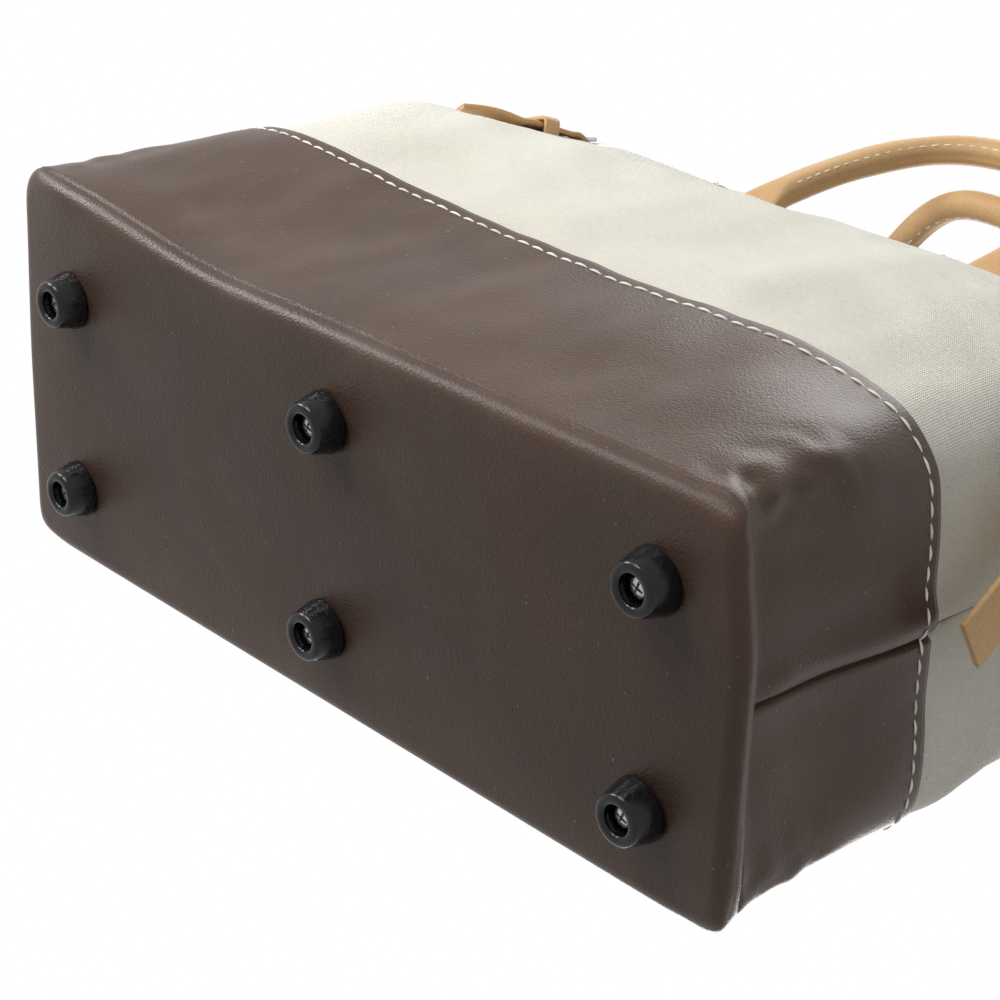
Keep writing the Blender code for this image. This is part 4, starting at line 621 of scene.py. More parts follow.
def boot_offset(point, angle):
    """Grained vinyl's own shape: a proud welt at the bottom of the ends, an end seam, dents and slack."""
    height = point.z - FLOOR_TO_SKIN
    end = grown(abs(cos(angle)), *END_WALL)
    offset = -GROOVE_DEPTH * bell(height, GROOVE_HEIGHT, GROOVE_SPREAD) * end
    offset += -RECESS_DEPTH * end * grown(height, *RECESS_FOOT) * faded(height, *RECESS_TOP)
    offset -= SEAM_DEPTH * bell(point.y, 0.0, SEAM_SPREAD) * end * grown(height, *SEAM_FOOT)
    offset += ROLL_HEIGHT * bell(point.y, ROLL_PLACE, ROLL_SPREAD) * end * grown(height, *ROLL_FOOT)
    slack = ease(height / 0.03)
    offset += slack * DENT_DEPTH * soft_noise(point, DENT_SIZE, 2.0)
    offset += slack * RIPPLE_DEPTH * soft_noise((point.x, point.y, point.z * 0.5), RIPPLE_SIZE, 6.0)
    corner = bell(abs(point.x), CORNER_X, PUCKER_SPREAD) * bell(abs(point.y), CORNER_Y, PUCKER_SPREAD)
    pucker = PUCKER_DEPTH * corner * soft_noise(point, PUCKER_SIZE, 3.0)
    return offset + pucker * ease(height / 0.006) * faded(height, *PUCKER_TOP)


def pulled(point):
    """What the soft shell does away from its even shape: the front left corner is pulled out into an ear with a fat
    fold above it, the back sags near its right end, and the right end is drawn in over the bottom's edge."""
    right, left, back, front, height = point.x, -point.x, point.y, -point.y, point.z
    ear = grown(left, *EAR_LEFT) * grown(front, *EAR_FRONT) * faded(height, *EAR_TOP)
    fold = grown(left, *FOLD_LEFT) * grown(front, *FOLD_FRONT)
    fold *= grown(height, *FOLD_FOOT) * faded(height, *FOLD_TOP)
    sag = grown(right, *SAG_RIGHT) * grown(back, *SAG_BACK)
    sag *= grown(height, *SAG_FOOT) * faded(height, *SAG_TOP)
    tuck = grown(right, *TUCK_RIGHT) * grown(height, *TUCK_FOOT) * faded(height, *TUCK_TOP)
    tuck *= 1.0 - TUCK_BACK_SHARE * grown(back, *TUCK_BACK)
    nip = grown(right, *NIP_RIGHT) * grown(front, *NIP_FRONT) * faded(height, *NIP_TOP)
    point.y += SAG_DEPTH * sag - EAR_PULL * ear - FOLD_PULL * fold
    aside = FOLD_SIDE_SHARE * FOLD_PULL * fold - SAG_SIDE_SHARE * SAG_DEPTH * sag
    point.x -= aside + TUCK_DEPTH * tuck + NIP_DEPTH * nip
    point.z += EAR_LIFT_SHARE * EAR_PULL * ear * grown(-point.x, *EAR_TIP)
    return point


def canvas_grid(side, angles):
    """A half's points, and which of them is at each column and row: up the skin, then up the panel and down inside.
    The end columns have no panel, only a low tab that rises to the seam."""
    count = len(angles)
    feet = []
    for angle in angles:
        y = skin_point(SHOULDER_HEIGHT, CANVAS_INSET, angle).y
        feet.append(skin_point(foot_height(y), CANVAS_INSET, angle))
    points = []
    for k in range(SKIN_STEPS + 1):
        share = k / SKIN_STEPS
        points += [skin_point(CANVAS_LOW + (foot.z - CANVAS_LOW) * share, CANVAS_INSET, angle)
                   for foot, angle in zip(feet, angles)]
    index = {(i, k): k * count + i for k in range(SKIN_STEPS + 1) for i in range(count)}
    for i in (*range(END_COLUMNS), *range(count - END_COLUMNS, count)):
        for k in range(1, END_TAB_STEPS + 1):
            rise = END_TAB_RISE * (1.0 - abs(feet[i].y) / END_TAB_REACH) * k / END_TAB_STEPS
            index[(i, SKIN_STEPS + k)] = len(points)
            points.append(skin_point(feet[i].z + max(rise, END_TAB_LEAST * k), CANVAS_INSET, angles[i]))
    for i, strip in enumerate(panel_rows(side, feet[END_COLUMNS:count - END_COLUMNS], PANEL_COLUMNS)):
        for k, point in enumerate(strip):
            index[(i + END_COLUMNS, SKIN_STEPS + 1 + k)] = len(points)
            points.append(point)
    return points, index


def canvas_faces(index, count, top):
    """Faces between neighbours. The panel isn't joined to the end tabs beside it."""
    faces = []
    for i in range(count - 1):
        for k in range(top):
            ring = [index.get(key) for key in ((i, k), (i + 1, k), (i + 1, k + 1), (i, k + 1))]
            beside_panel = k >= SKIN_STEPS and i in (END_COLUMNS - 1, count - 1 - END_COLUMNS)
            if None not in ring and not beside_panel:
                faces.append(ring)
    return faces


def canvas_cloth(points, index, count, top):
    """Each point's place on the flat cloth in millimetres: along the bag, and up its own column."""
    middle_row = [points[index[(i, SKIN_STEPS // 2)]] for i in range(count)]
    lengths = [mark * MILLIMETRES for mark in marks_along(middle_row)]
    cloth = [(0.0, 0.0)] * len(points)
    for i in range(count):
        column = [index[(i, k)] for k in range(top + 1) if (i, k) in index]
        for at, mark in zip(column, marks_along([points[at] for at in column])):
            cloth[at] = (lengths[i], mark * MILLIMETRES)
    return cloth


def half_canvas(side, name, replaced):
    angles = half_angles(side)
    count = len(angles)
    points, index = canvas_grid(side, angles)
    top = max(k for _, k in index)
    mesh = new_mesh(name, points, canvas_faces(index, count, top))
    obj = mesh_object(name, mesh)
    add_cloth_map(mesh, canvas_cloth(points, index, count, top))
    middle = Vector((0.0, 0.0, 0.20))
    outer = [face for face in mesh.polygons if face.vertices[0] < (SKIN_STEPS + 1) * count]
    if sum((face.center - middle).dot(face.normal) for face in outer) < 0.0:
        mesh.flip_normals()
    mesh.update()
    normals = [vertex.normal.copy() for vertex in mesh.vertices]
    for (i, k), at in index.items():
        if k > SKIN_STEPS + WALL_STEPS:
            continue
        point = mesh.vertices[at].co
        near_seam = faded(abs(point.y), *END_SEAM_NEAR)
        at_hem = ease((SKIN_STEPS + WALL_STEPS - k) / HEM_FADE_STEPS)
        offset = fold_depth(point, side) * at_hem * (1.0 - SEAM_CALM * near_seam)
        offset += boot_offset(point, angles[i]) * faded(point.z, BOOT_TOP, BOOT_BLEND_RUN)
        offset -= END_SEAM_TUCK * near_seam * ease((SKIN_STEPS + END_TAB_STEPS - k) / SEAM_FADE_STEPS)
        mesh.vertices[at].co = pulled(point + normals[at] * offset)
    mesh.shade_smooth()
    mesh.transform(TO_BAG)
    mesh.update()
    hems = []
    for below_rod in (1, 2):
        row = [mesh.vertices[index[(i, SKIN_STEPS + WALL_STEPS - below_rod)]]
               for i in range(END_COLUMNS, count - END_COLUMNS)]
        hems.append([(vertex.co.copy(), vertex.normal.copy()) for vertex in row])
    modify(obj, "SOLIDIFY", thickness=CANVAS_THICKNESS, offset=-1.0)
    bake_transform(obj)
    finish_piece(obj, CANVAS, "canvas", *replaced)
    return hems


front_hems = half_canvas(-1, "front_canvas", ["front_canvas_panel", "canvas_body"])
back_hems = half_canvas(1, "back_canvas", ["back_canvas_panel"])


# The vinyl boot: a flat bottom with turned edges and four walls, boxed at the ends


SEAM_COLUMNS = (0.0006, 0.0012, 0.0018, 0.0025, 0.0034, 0.0046, 0.0060, 0.0076)
GROOVE_ROWS = [FLOOR_TO_SKIN + EDGE_RADIUS + 0.0007 * k for k in range(1, 14)]
BOOT_HEIGHTS = GROOVE_ROWS + list(np.linspace(GROOVE_ROWS[-1], BOOT_TOP, 48))[1:]
BOTTOM_SHARES = (0.0, 0.15, 0.3, 0.45, 0.6, 0.72, 0.82, 0.90, 0.96)
EDGE_STEPS = 8
LINING_ROWS = 10
END_REACH = 0.2


def boot_angle_list():
    """Even directions round the boot, with closer ones at the two end seams."""
    even = even_angles(0.05, 421, 0.05, 0.0, 2.0 * pi)[:-1]
    close = [side * asin(place / END_REACH) for place in SEAM_COLUMNS for side in (-1.0, 1.0)] + [0.0]
    even = [angle for angle in even if abs(sin(angle)) > 1.15 * SEAM_COLUMNS[-1] / END_REACH]
    return sorted(even + [angle % (2.0 * pi) for angle in close] + [pi + angle for angle in close])


def make_boot():
    angles = boot_angle_list()
    rows = []
    for share in BOTTOM_SHARES:
        edges = [skin_point(FLOOR_TO_SKIN, EDGE_RADIUS, angle) for angle in angles]
        rows.append([Vector((edge.x * share, edge.y * share, FLOOR_TO_SKIN)) for edge in edges])
    for k in range(EDGE_STEPS + 1):
        turn = pi / 2.0 * k / EDGE_STEPS
        inset = EDGE_RADIUS * (1.0 - sin(turn))
        height = FLOOR_TO_SKIN + EDGE_RADIUS * (1.0 - cos(turn))
        rows.append([Vector((*skin_point(FLOOR_TO_SKIN, inset, angle)[:2], height)) for angle in angles])
    for height in BOOT_HEIGHTS:
        rows.append([skin_point(height, 0.0, angle) for angle in angles])
    shaped = []
    for k, row in enumerate(rows):
        on_wall = k >= len(BOTTOM_SHARES)
        shaped.append([])
        for i, point in enumerate(row):
            before, after = row[i - 1], row[(i + 1) % len(row)]
            out = (after - before).cross(UP) if on_wall else DOWN.copy()
            out = out.normalized() if out.length else DOWN.copy()
            if out.x * point.x + out.y * point.y < 0.0:
                out.negate()
            moved = point + out * (boot_offset(point, angles[i]) if on_wall else 0.0004 * soft_noise(point, 0.05, 8.0))
            shaped[-1].append(pulled(moved))
    inner = []
    for row in reversed(shaped[-LINING_ROWS:]):
        inner.append([point - Vector((point.x * 0.3, point.y, 0.0)).normalized() * VINYL_THICKNESS for point in row])
    obj = grid_object("vinyl_boot_looks", shaped + inner)
    outward(obj, Vector((0.0, 0.0, 0.06)))
    obj.data.transform(TO_BAG)
    return finish_piece(obj, VINYL, "vinyl", "vinyl_boot"), shaped


boot, boot_rows = make_boot()
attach(boot, "root")


# Stitches


# Each seam's pitch, and its stitches' length and radius
STITCH_SIDES = 6
HEM_STITCH = (0.0042, 0.0033, 0.00042)
BOOT_STITCH = (0.0079, 0.0064, 0.00055)
HANDLE_STITCH = (0.0060, 0.0045, 0.00045)
BOOT_STITCH_DEPTH = 0.0056
BOOT_STITCH_SLANT = 0.06


def stitch_shape(half_length, radius):
    """One thread stitch lying along X: a bowed capsule sunk at both ends."""
    rings = []
    steps = 6
    for k in range(steps + 1):
        share = k / steps
        x = -half_length + 2.0 * half_length * share
        swell = sin(pi * share) ** 0.5 if 0 < k < steps else 0.25
        rise = radius * (0.6 * sin(pi * share) - 0.25)
        rings.append([(x, radius * swell * cos(a), rise + radius * swell * sin(a))
                      for a in circle(STITCH_SIDES)])
    return rings


def stitch_run(name, path, outs, sizes, slot, slant=0.0):
    """Stitches at even steps along a path; outs are the directions that the stitches look in."""
    pitch, length, radius = sizes
    marks = marks_along(path)
    shape = stitch_shape(length / 2.0, radius)
    points = []
    faces = []
    for n in range(int(marks[-1] / pitch)):
        run = (n + 0.5) * pitch
        k = max(min(int(np.searchsorted(marks, run)) - 1, len(path) - 2), 0)
        share = (run - marks[k]) / max(marks[k + 1] - marks[k], 1e-9)
        place = path[k].lerp(path[k + 1], share)
        along = (path[k + 1] - path[k]).normalized()
        out = outs[k].lerp(outs[k + 1], share)
        out = (out - along * out.dot(along)).normalized()
        side = out.cross(along)
        wobble = slant + 0.10 * noise.noise(Vector((n * 0.73, run * 40.0, 1.7)))
        along = (along * cos(wobble) + side * sin(wobble)).normalized()
        side = out.cross(along)
        base = len(points)
        for ring in shape:
            points += [place + along * x + side * y + out * z for x, y, z in ring]
        faces += ring_faces(len(shape), STITCH_SIDES, base=base)
        last = base + (len(shape) - 1) * STITCH_SIDES
        faces.append(tuple(base + i for i in range(STITCH_SIDES)))
        faces.append(tuple(last + i for i in reversed(range(STITCH_SIDES))))
    mesh = new_mesh(name, points, faces)
    mesh.shade_smooth()
    return finish_piece(mesh_object(name, mesh), THREAD, slot)


def boot_line(depth):
    """A line round the boot at a depth below its top edge, with the outward directions."""
    below = np.interp(BOOT_TOP - depth, BOOT_HEIGHTS, range(len(BOOT_HEIGHTS)))
    k = len(boot_rows) - len(BOOT_HEIGHTS) + float(below)
    low = int(k)
    line = [a.lerp(b, k - low) for a, b in zip(boot_rows[low], boot_rows[low + 1])]
    outs = []
    for i in range(len(line)):
        out = (line[(i + 1) % len(line)] - line[i - 1]).cross(UP).normalized()
        outs.append(out if out.dot(Vector((line[i].x * 0.4, line[i].y, 0.0))) > 0.0 else -out)
    line = [point + BAG_MIDDLE for point in line]
    return line + [line[0]], outs + [outs[0]]


for half, hems in (("front", front_hems), ("back", back_hems)):
    for number, hem in enumerate(hems):
        places, normals = zip(*hem)
        stitches = stitch_run(f"{half}_hem_stitches_{number + 1}", places, normals, HEM_STITCH, "canvas")
        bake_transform(stitches)
line, outs = boot_line(BOOT_STITCH_DEPTH)
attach(stitch_run("boot_stitches", line, outs, BOOT_STITCH, "canvas", BOOT_STITCH_SLANT), "root")


# Feet, their screws and the other small hard pieces


TURNED_STEPS = 64
SCREW_STEPS = 40
CROSS_SIZE = (0.0052, 0.00105, 0.0022)


def ring_of(radius, height, steps):
    return [(radius * cos(angle), radius * sin(angle), height) for angle in circle(steps)]


def seat(obj, node, material, slot):
    """Put a turned piece on the upright axis of the node that it replaces."""
    low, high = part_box(node)
    obj.location = ((low.x + high.x) / 2.0, (low.y + high.y) / 2.0, 0.0)
    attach(obj, "root")
    finish_piece(obj, material, slot, node)


def rounded_profile(corners, radius):
    """A polyline of (radius, height) corners with each inner corner rounded."""
    steps = 4
    result = [corners[0]]
    for before, corner, after in zip(corners, corners[1:], corners[2:]):
        a, b, c = Vector(before), Vector(corner), Vector(after)
        cut = min(radius, (b - a).length * 0.45, (c - b).length * 0.45)
        start = b + (a - b).normalized() * cut
        end = b + (c - b).normalized() * cut
        for k in range(steps + 1):
            t = k / steps
            result.append(tuple(start * (1 - t) ** 2 + b * 2 * t * (1 - t) + end * t * t))
    result.append(corners[-1])
    return result


def make_foot(node):
    low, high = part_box(node)
    wide = (high.x - low.x) / 2.0
    corners = [(0.0023, high.z), (wide * 0.93, high.z), (wide, high.z - 0.0006), (wide * 0.775, low.z),
               (0.0055, low.z), (0.0053, 0.0060), (0.0023, 0.0060)]
    profile = rounded_profile(corners, 0.0017)
    points = [point for r, z in profile for point in ring_of(r, z, TURNED_STEPS)]
    mesh = new_mesh(node + "_rubber", points, ring_faces(len(profile), TURNED_STEPS))
    shade(mesh, 50.0)
    obj = mesh_object(node + "_rubber", mesh)
    outward(obj, Vector((0.0, 0.0, 0.006)))
    seat(obj, node, RUBBER, "rubber")


def make_screw(node):
    """A pan-head screw with a cross recess, seen in the foot's hole."""
    low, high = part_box(node)
    head = 0.0042
    shank = 0.0020
    profile = [(1e-5, low.z + 0.0001), (head * 0.55, low.z + 0.0001), (head * 0.85, low.z + 0.0006),
               (head, low.z + 0.0014), (head, low.z + 0.0024), (shank, low.z + 0.0025), (shank, high.z)]
    bm = bmesh.new()
    rings = [[bm.verts.new(place) for place in ring_of(r, z, SCREW_STEPS)] for r, z in profile]
    for first, second in zip(rings, rings[1:]):
        for i in range(SCREW_STEPS):
            j = (i + 1) % SCREW_STEPS
            bm.faces.new((first[i], first[j], second[j], second[i]))
    bm.faces.new(rings[-1])
    bmesh.ops.remove_doubles(bm, verts=bm.verts, dist=1e-5)
    bmesh.ops.recalc_face_normals(bm, faces=bm.faces)
    obj = mesh_object(node + "_cross", mesh_of(node + "_cross", bm))
    bm = bmesh.new()
    for turn in (0.35, 0.35 + pi / 2.0):
        placed = Matrix.Translation((0.0, 0.0, low.z)) @ Matrix.Rotation(turn, 4, "Z")
        bmesh.ops.create_cube(bm, size=1.0, matrix=placed @ Matrix.Diagonal((*CROSS_SIZE, 1.0)))
    cut_away(obj, mesh_of("cross", bm), use_self=True)
    shade(obj.data, 30.0)
    seat(obj, node, STEEL, "steel")


for row in ("front", "back"):
    for column in ("left", "middle", "right"):
        make_foot(f"foot_{row}_{column}")
        make_screw(f"foot_screw_{row}_{column}")


RIVET_BODIES = {"front_handle_rivet_{}": "front_frame", "back_handle_rivet_{}": "back_frame",
                "{}_chape_rivet": "front_frame", "{}_strap_rivet": "back_frame"}


def cleaned_copy(node, name):
    """A copy of a CAD node without doubled points or edges that lie flat, ready to be rounded."""
    mesh = nodes[node].data.copy()
    bm = bmesh.new()
    bm.from_mesh(mesh)
    bmesh.ops.remove_doubles(bm, verts=bm.verts, dist=1e-5)
    bmesh.ops.dissolve_limit(bm, angle_limit=radians(1.0), verts=bm.verts, edges=bm.edges)
    bm.to_mesh(mesh)
    bm.free()
    return mesh_object(name, mesh)


def soften(node, material, slot, body, width):
    """A soft or small piece that keeps its CAD form, with rounded edges."""
    obj = cleaned_copy(node, node + "_soft")
    modify(obj, "BEVEL", width=width, segments=3, limit_method="ANGLE", angle_limit=radians(40.0))
    shade(obj.data, 48.0)
    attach(obj, body)
    finish_piece(obj, material, slot, node)
    if material == CANVAS:
        add_cloth_map(obj.data, [(vertex.co.x * MILLIMETRES, vertex.co.z * MILLIMETRES)
                                 for vertex in obj.data.vertices])
    if "tab" in node:
        obj.data.materials.append(RAW_EDGE)
        widest = max(obj.data.polygons, key=lambda face: face.area).normal.copy()
        for face in obj.data.polygons:
            face.material_index = 1 if abs(face.normal.dot(widest)) < 0.6 else 0


def dress(node, material):
    """A CAD node shown as it is, with a better finish."""
    mesh = nodes[node].data
    shade(mesh, 38.0)
    mesh.materials.clear()
    mesh.materials.append(material)


def round_off(node, body):
    """A rivet with its facets smoothed into a dome."""
    obj = cleaned_copy(node, node + "_round")
    modify(obj, "SUBSURF", levels=2, render_levels=2)
    obj.data.shade_smooth()
    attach(obj, body)
    finish_piece(obj, STEEL, "steel", node)


for rivet, body in RIVET_BODIES.items():
    for end in ("left", "right"):
        round_off(rivet.format(end), body)
for node in nodes:
    if any(word in node for word in ("pivot", "prong", "buckle_frame", "tee_nut", "rod")):
        dress(node, STEEL)
dress("bottom_board", BOARD)
for half in ("front", "back"):
    for end in ("left", "right"):
        soften(f"{half}_handle_tab_{end}", LEATHER, "leather", f"{half}_frame", 0.0007)
for end in ("left", "right"):
    soften(f"{end}_buckle_chape", LEATHER, "leather", "front_frame", 0.0004)
    soften(f"{end}_strap_keeper", LEATHER, "leather", "front_frame", 0.0004)
soften("inner_pocket", CANVAS, "canvas", "root", 0.0003)


# Handles: leather rolled round a core, flat at both ends


def ring_at(centre, wide, thin, half_width, half_thickness, power, dent):
    """A ring of points across a handle, with a dent where its seam runs."""
    ring = []
    for angle in circle(HANDLE_SIDES):
        reach = (abs(cos(angle)) ** power + abs(sin(angle)) ** power) ** (-1.0 / power)
        pinch = 1.0 - dent * bell(degrees(angle), 180.0, 14.0)
        across = wide * (half_width * reach * cos(angle) * pinch)
        ring.append(centre + across + thin * (half_thickness * reach * sin(angle)))
    return ring


HANDLE_SPACING = 0.130
HANDLE_DIAMETER = 0.0145
HANDLE_END_WIDTH = 0.024
HANDLE_END_THICKNESS = 0.0030
HANDLE_SQUARENESS = 2.5
HANDLE_ROLL_START = 0.030
FRONT_HANDLE = (0.124, radians(9.0))
BACK_HANDLE = (0.108, 0.093)
HANDLE_SIDES = 36
HANDLE_DENSE = 480
HANDLE_ROWS = 121
FLAP_STEP = 0.0015
FLAP_LIFT = 0.0003
UNSTITCHED_ROWS = 16
HANDLE_LUMP, HANDLE_LUMP_SIZE, HANDLE_DENT = 0.025, 0.02, 0.10
SEAM_PLACE, SEAM_FACING = (0.70, 0.66), (0.72, 0.68)


def handle_centre(side, hinge, share, across):
    if side < 0:
        rise, lean = FRONT_HANDLE
        return hinge + Vector((across, -rise * share * sin(lean), rise * share * cos(lean)))
    rise, reach = BACK_HANDLE
    bend = pi / 2.0 * share
    return hinge + Vector((across, -reach * (1.0 - cos(bend)), rise * sin(bend)))


def make_handle(side, name, node, body):
    hinge = next(Vector(j["pos_m"]) for j in frame["joints"] if j["child"] == body) + BAG_MIDDLE
    dense = []
    for i in range(HANDLE_DENSE + 1):
        angle = pi * i / HANDLE_DENSE
        across = abs(cos(angle)) ** (2.0 / HANDLE_SQUARENESS)
        share = sin(angle) ** (2.0 / HANDLE_SQUARENESS) if 0 < i < HANDLE_DENSE else 0.0
        way = -1.0 if i < HANDLE_DENSE // 2 else 1.0
        dense.append(handle_centre(side, hinge, share, way * across * HANDLE_SPACING / 2.0))
    low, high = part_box(node.replace("handle", "handle_tab_left"))
    down = Vector((0.0, side * (high.y - low.y), low.z - high.z)).normalized()
    over_tab = Vector((0.0, side * abs(down.z), abs(down.y))) * FLAP_LIFT
    flap = [(down * FLAP_STEP + over_tab) * k for k in (4, 3, 2, 1)]
    points = even_points(dense, HANDLE_ROWS)
    points = [points[0] + step for step in flap] + points + [points[-1] + step for step in reversed(flap)]
    total = sum((b - a).length for a, b in zip(points, points[1:]))
    run = 0.0
    rows = []
    seam = []
    outs = []
    for k, (point, tangent) in enumerate(zip(points, directions(points))):
        run += (point - points[k - 1]).length if k else 0.0
        rolled = ease((min(run, total - run) - HANDLE_END_WIDTH / 4.0) / HANDLE_ROLL_START)
        share = min(max((point.z - hinge.z) / ((FRONT_HANDLE if side < 0 else BACK_HANDLE)[0]), 0.0), 0.999)
        if side < 0:
            plane = Vector((0.0, -sin(FRONT_HANDLE[1]), cos(FRONT_HANDLE[1])))
        else:
            bend = asin(share)
            plane = Vector((0.0, -BACK_HANDLE[1] * sin(bend), BACK_HANDLE[0] * cos(bend))).normalized()
        if k < len(flap) or k >= len(points) - len(flap):
            plane = -down
        thin = plane.cross(Vector((1.0, 0.0, 0.0)))
        thin = (thin - tangent * thin.dot(tangent)).normalized()
        wide = tangent.cross(thin)
        half_width = HANDLE_END_WIDTH / 2.0 + (HANDLE_DIAMETER - HANDLE_END_WIDTH) / 2.0 * rolled
        half_thick = HANDLE_END_THICKNESS / 2.0 + (HANDLE_DIAMETER - HANDLE_END_THICKNESS) / 2.0 * rolled
        lump = 1.0 + HANDLE_LUMP * soft_noise(point, HANDLE_LUMP_SIZE, 5.0) * rolled
        power = 2.0 + 4.0 * (1.0 - rolled)
        rows.append(ring_at(point, wide, thin, half_width * lump, half_thick * lump, power, HANDLE_DENT * rolled))
        inner = -wide
        seam.append(point + inner * (half_width * SEAM_PLACE[0]) - thin * half_thick * SEAM_PLACE[1])
        outs.append((inner * SEAM_FACING[0] - thin * SEAM_FACING[1]).normalized())
    obj = grid_object(name, rows)
    close_ends(obj, HANDLE_SIDES)
    shade(obj.data, 50.0)
    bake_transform(obj)
    finish_piece(obj, LEATHER, "leather", node)
    sewn = slice(UNSTITCHED_ROWS, len(seam) - UNSTITCHED_ROWS)
    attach(stitch_run(name + "_stitches", seam[sewn], outs[sewn], HANDLE_STITCH, "leather"), body)


make_handle(-1, "front_handle_rolled", "front_handle", "front_handle")
make_handle(1, "back_handle_rolled", "back_handle", "back_handle")


# Closure straps: each is one leather ribbon, in two lengths split over the top of the frame


STRAP_WIDTH = 0.025
STRAP_THICKNESS = 0.0024
SHARED_ROUTE = [
    ((0.1728, 0.0612, 0.2881), (0.96, -0.27, 0.04)), ((0.1725, 0.0570, 0.3003), (0.98, -0.18, 0.07)),
    ((0.1721, 0.0525, 0.3123), (0.99, -0.09, 0.11)), ((0.1717, 0.0481, 0.3224), (0.99, -0.02, 0.13)),
    ((0.1718, 0.0414, 0.3317), (0.99, -0.04, 0.10)), ((0.1721, 0.0334, 0.3407), (0.99, -0.08, 0.07)),
    ((0.1720, 0.0244, 0.3501), (1.00, -0.02, 0.02)), ((0.1720, 0.0183, 0.3553), (1.0, 0.0, 0.0)),
    ((0.1720, 0.0094, 0.3558), (1.0, 0.0, 0.0)), ((0.1720, -0.0038, 0.3556), (1.0, 0.0, 0.0)),
    ((0.1720, -0.0164, 0.3557), (1.0, 0.0, 0.0)), ((0.1720, -0.0209, 0.3537), (1.0, 0.0, 0.0)),
    ((0.1719, -0.0287, 0.3447), (1.00, 0.02, 0.06)), ((0.1718, -0.0367, 0.3350), (0.99, 0.03, 0.11)),
    ((0.1715, -0.0441, 0.3291), (0.99, 0.0, 0.13)), ((0.1707, -0.0501, 0.3227), (0.99, 0.14, 0.04)),
    ((0.1709, -0.0512, 0.3184), (0.99, 0.16, 0.03)), ((0.1718, -0.0557, 0.3132), (0.99, 0.16, 0.03)),
    ((0.1733, -0.0634, 0.3055), (0.99, 0.16, 0.03)), ((0.1737, -0.0646, 0.3004), (0.99, 0.16, 0.03)),
    ((0.1744, -0.0682, 0.2881), (0.96, 0.26, 0.03)), ((0.1751, -0.0720, 0.2762), (0.94, 0.33, 0.02)),
    ((0.1747, -0.0739, 0.2683), (0.93, 0.36, 0.01))]
LEFT_TAIL = [((-0.1763, -0.0755, 0.2650), (0.92, -0.37, -0.05)), ((-0.1795, -0.0785, 0.2590), (0.88, -0.40, -0.18)),
             ((-0.1832, -0.0805, 0.2525), (0.85, -0.42, -0.30)), ((-0.1870, -0.0815, 0.2455), (0.84, -0.43, -0.32))]
RIGHT_TAIL = [((0.1779, -0.0750, 0.2633), (0.91, 0.38, 0.07)), ((0.1858, -0.0760, 0.2553), (0.80, 0.43, 0.33)),
              ((0.1925, -0.0756, 0.2475), (0.72, 0.47, 0.52)), ((0.1969, -0.0736, 0.2388), (0.65, 0.55, 0.52)),
              ((0.2012, -0.0699, 0.2282), (0.57, 0.64, 0.52)), ((0.2060, -0.0655, 0.2177), (0.49, 0.69, 0.52)),
              ((0.2098, -0.0602, 0.2080), (0.38, 0.76, 0.52)), ((0.2129, -0.0535, 0.1985), (0.28, 0.80, 0.52)),
              ((0.2150, -0.0478, 0.1889), (0.20, 0.83, 0.52)), ((0.2160, -0.0424, 0.1782), (0.14, 0.84, 0.52)),
              ((0.2167, -0.0361, 0.1689), (0.08, 0.85, 0.52)), ((0.2171, -0.0282, 0.1591), (0.04, 0.86, 0.52)),
              ((0.2172, -0.0217, 0.1492), (0.02, 0.86, 0.52)), ((0.2171, -0.0151, 0.1381), (0.0, 0.86, 0.52)),
              ((0.2169, -0.0090, 0.1285), (0.0, 0.86, 0.52)), ((0.2165, -0.0030, 0.1190), (0.0, 0.86, 0.52))]


# Each hole's middle, the way along the strap, the way through it, and how far it is stretched into a slot
STRAP_HOLES = {
    "left_strap": [((-0.1725, -0.0599, 0.3091), (-0.132, -0.683, -0.719), (0.091, 0.714, -0.695), 3.2),
                   ((-0.1754, -0.0740, 0.2682), (-0.255, -0.301, -0.919), (0.324, 0.869, -0.374), 1.0)],
    "right_strap": [((0.1726, -0.0599, 0.3091), (0.137, -0.701, -0.699), (-0.096, 0.693, -0.714), 3.2),
                    ((0.1749, -0.0739, 0.2681), (0.499, -0.125, -0.857), (-0.333, 0.886, -0.323), 1.0),
                    ((0.1890, -0.0756, 0.2515), (0.659, 0.007, -0.752), (-0.355, 0.885, -0.303), 1.0),
                    ((0.1993, -0.0715, 0.2329), (0.363, 0.304, -0.881), (-0.642, 0.767, 0.000), 1.0),
                    ((0.2074, -0.0635, 0.2141), (0.328, 0.451, -0.830), (-0.813, 0.582, -0.006), 1.0),
                    ((0.2134, -0.0522, 0.1962), (0.182, 0.511, -0.840), (-0.944, 0.330, -0.005), 1.0),
                    ((0.2171, -0.0130, 0.1350), (0.0, 0.530, -0.850), (-1.0, 0.0, 0.0), 1.0)]}
HOLE_RADIUS = 0.0027
STRAP_EDGE_RADIUS = 0.0006
STRAP_CORNER_STEPS = 3
STRAP_STEP = 0.0025
STRAP_BACK_BEND = ((0.0, 0.0, 0.232), (0.0, 0.0, 0.268))
STRAP_FRONT_BEND = ((0.0, 0.0, 0.222), (0.0, 0.0, 0.262))
RAW_FACES = (0, 4, 5, 6, 10, 11)


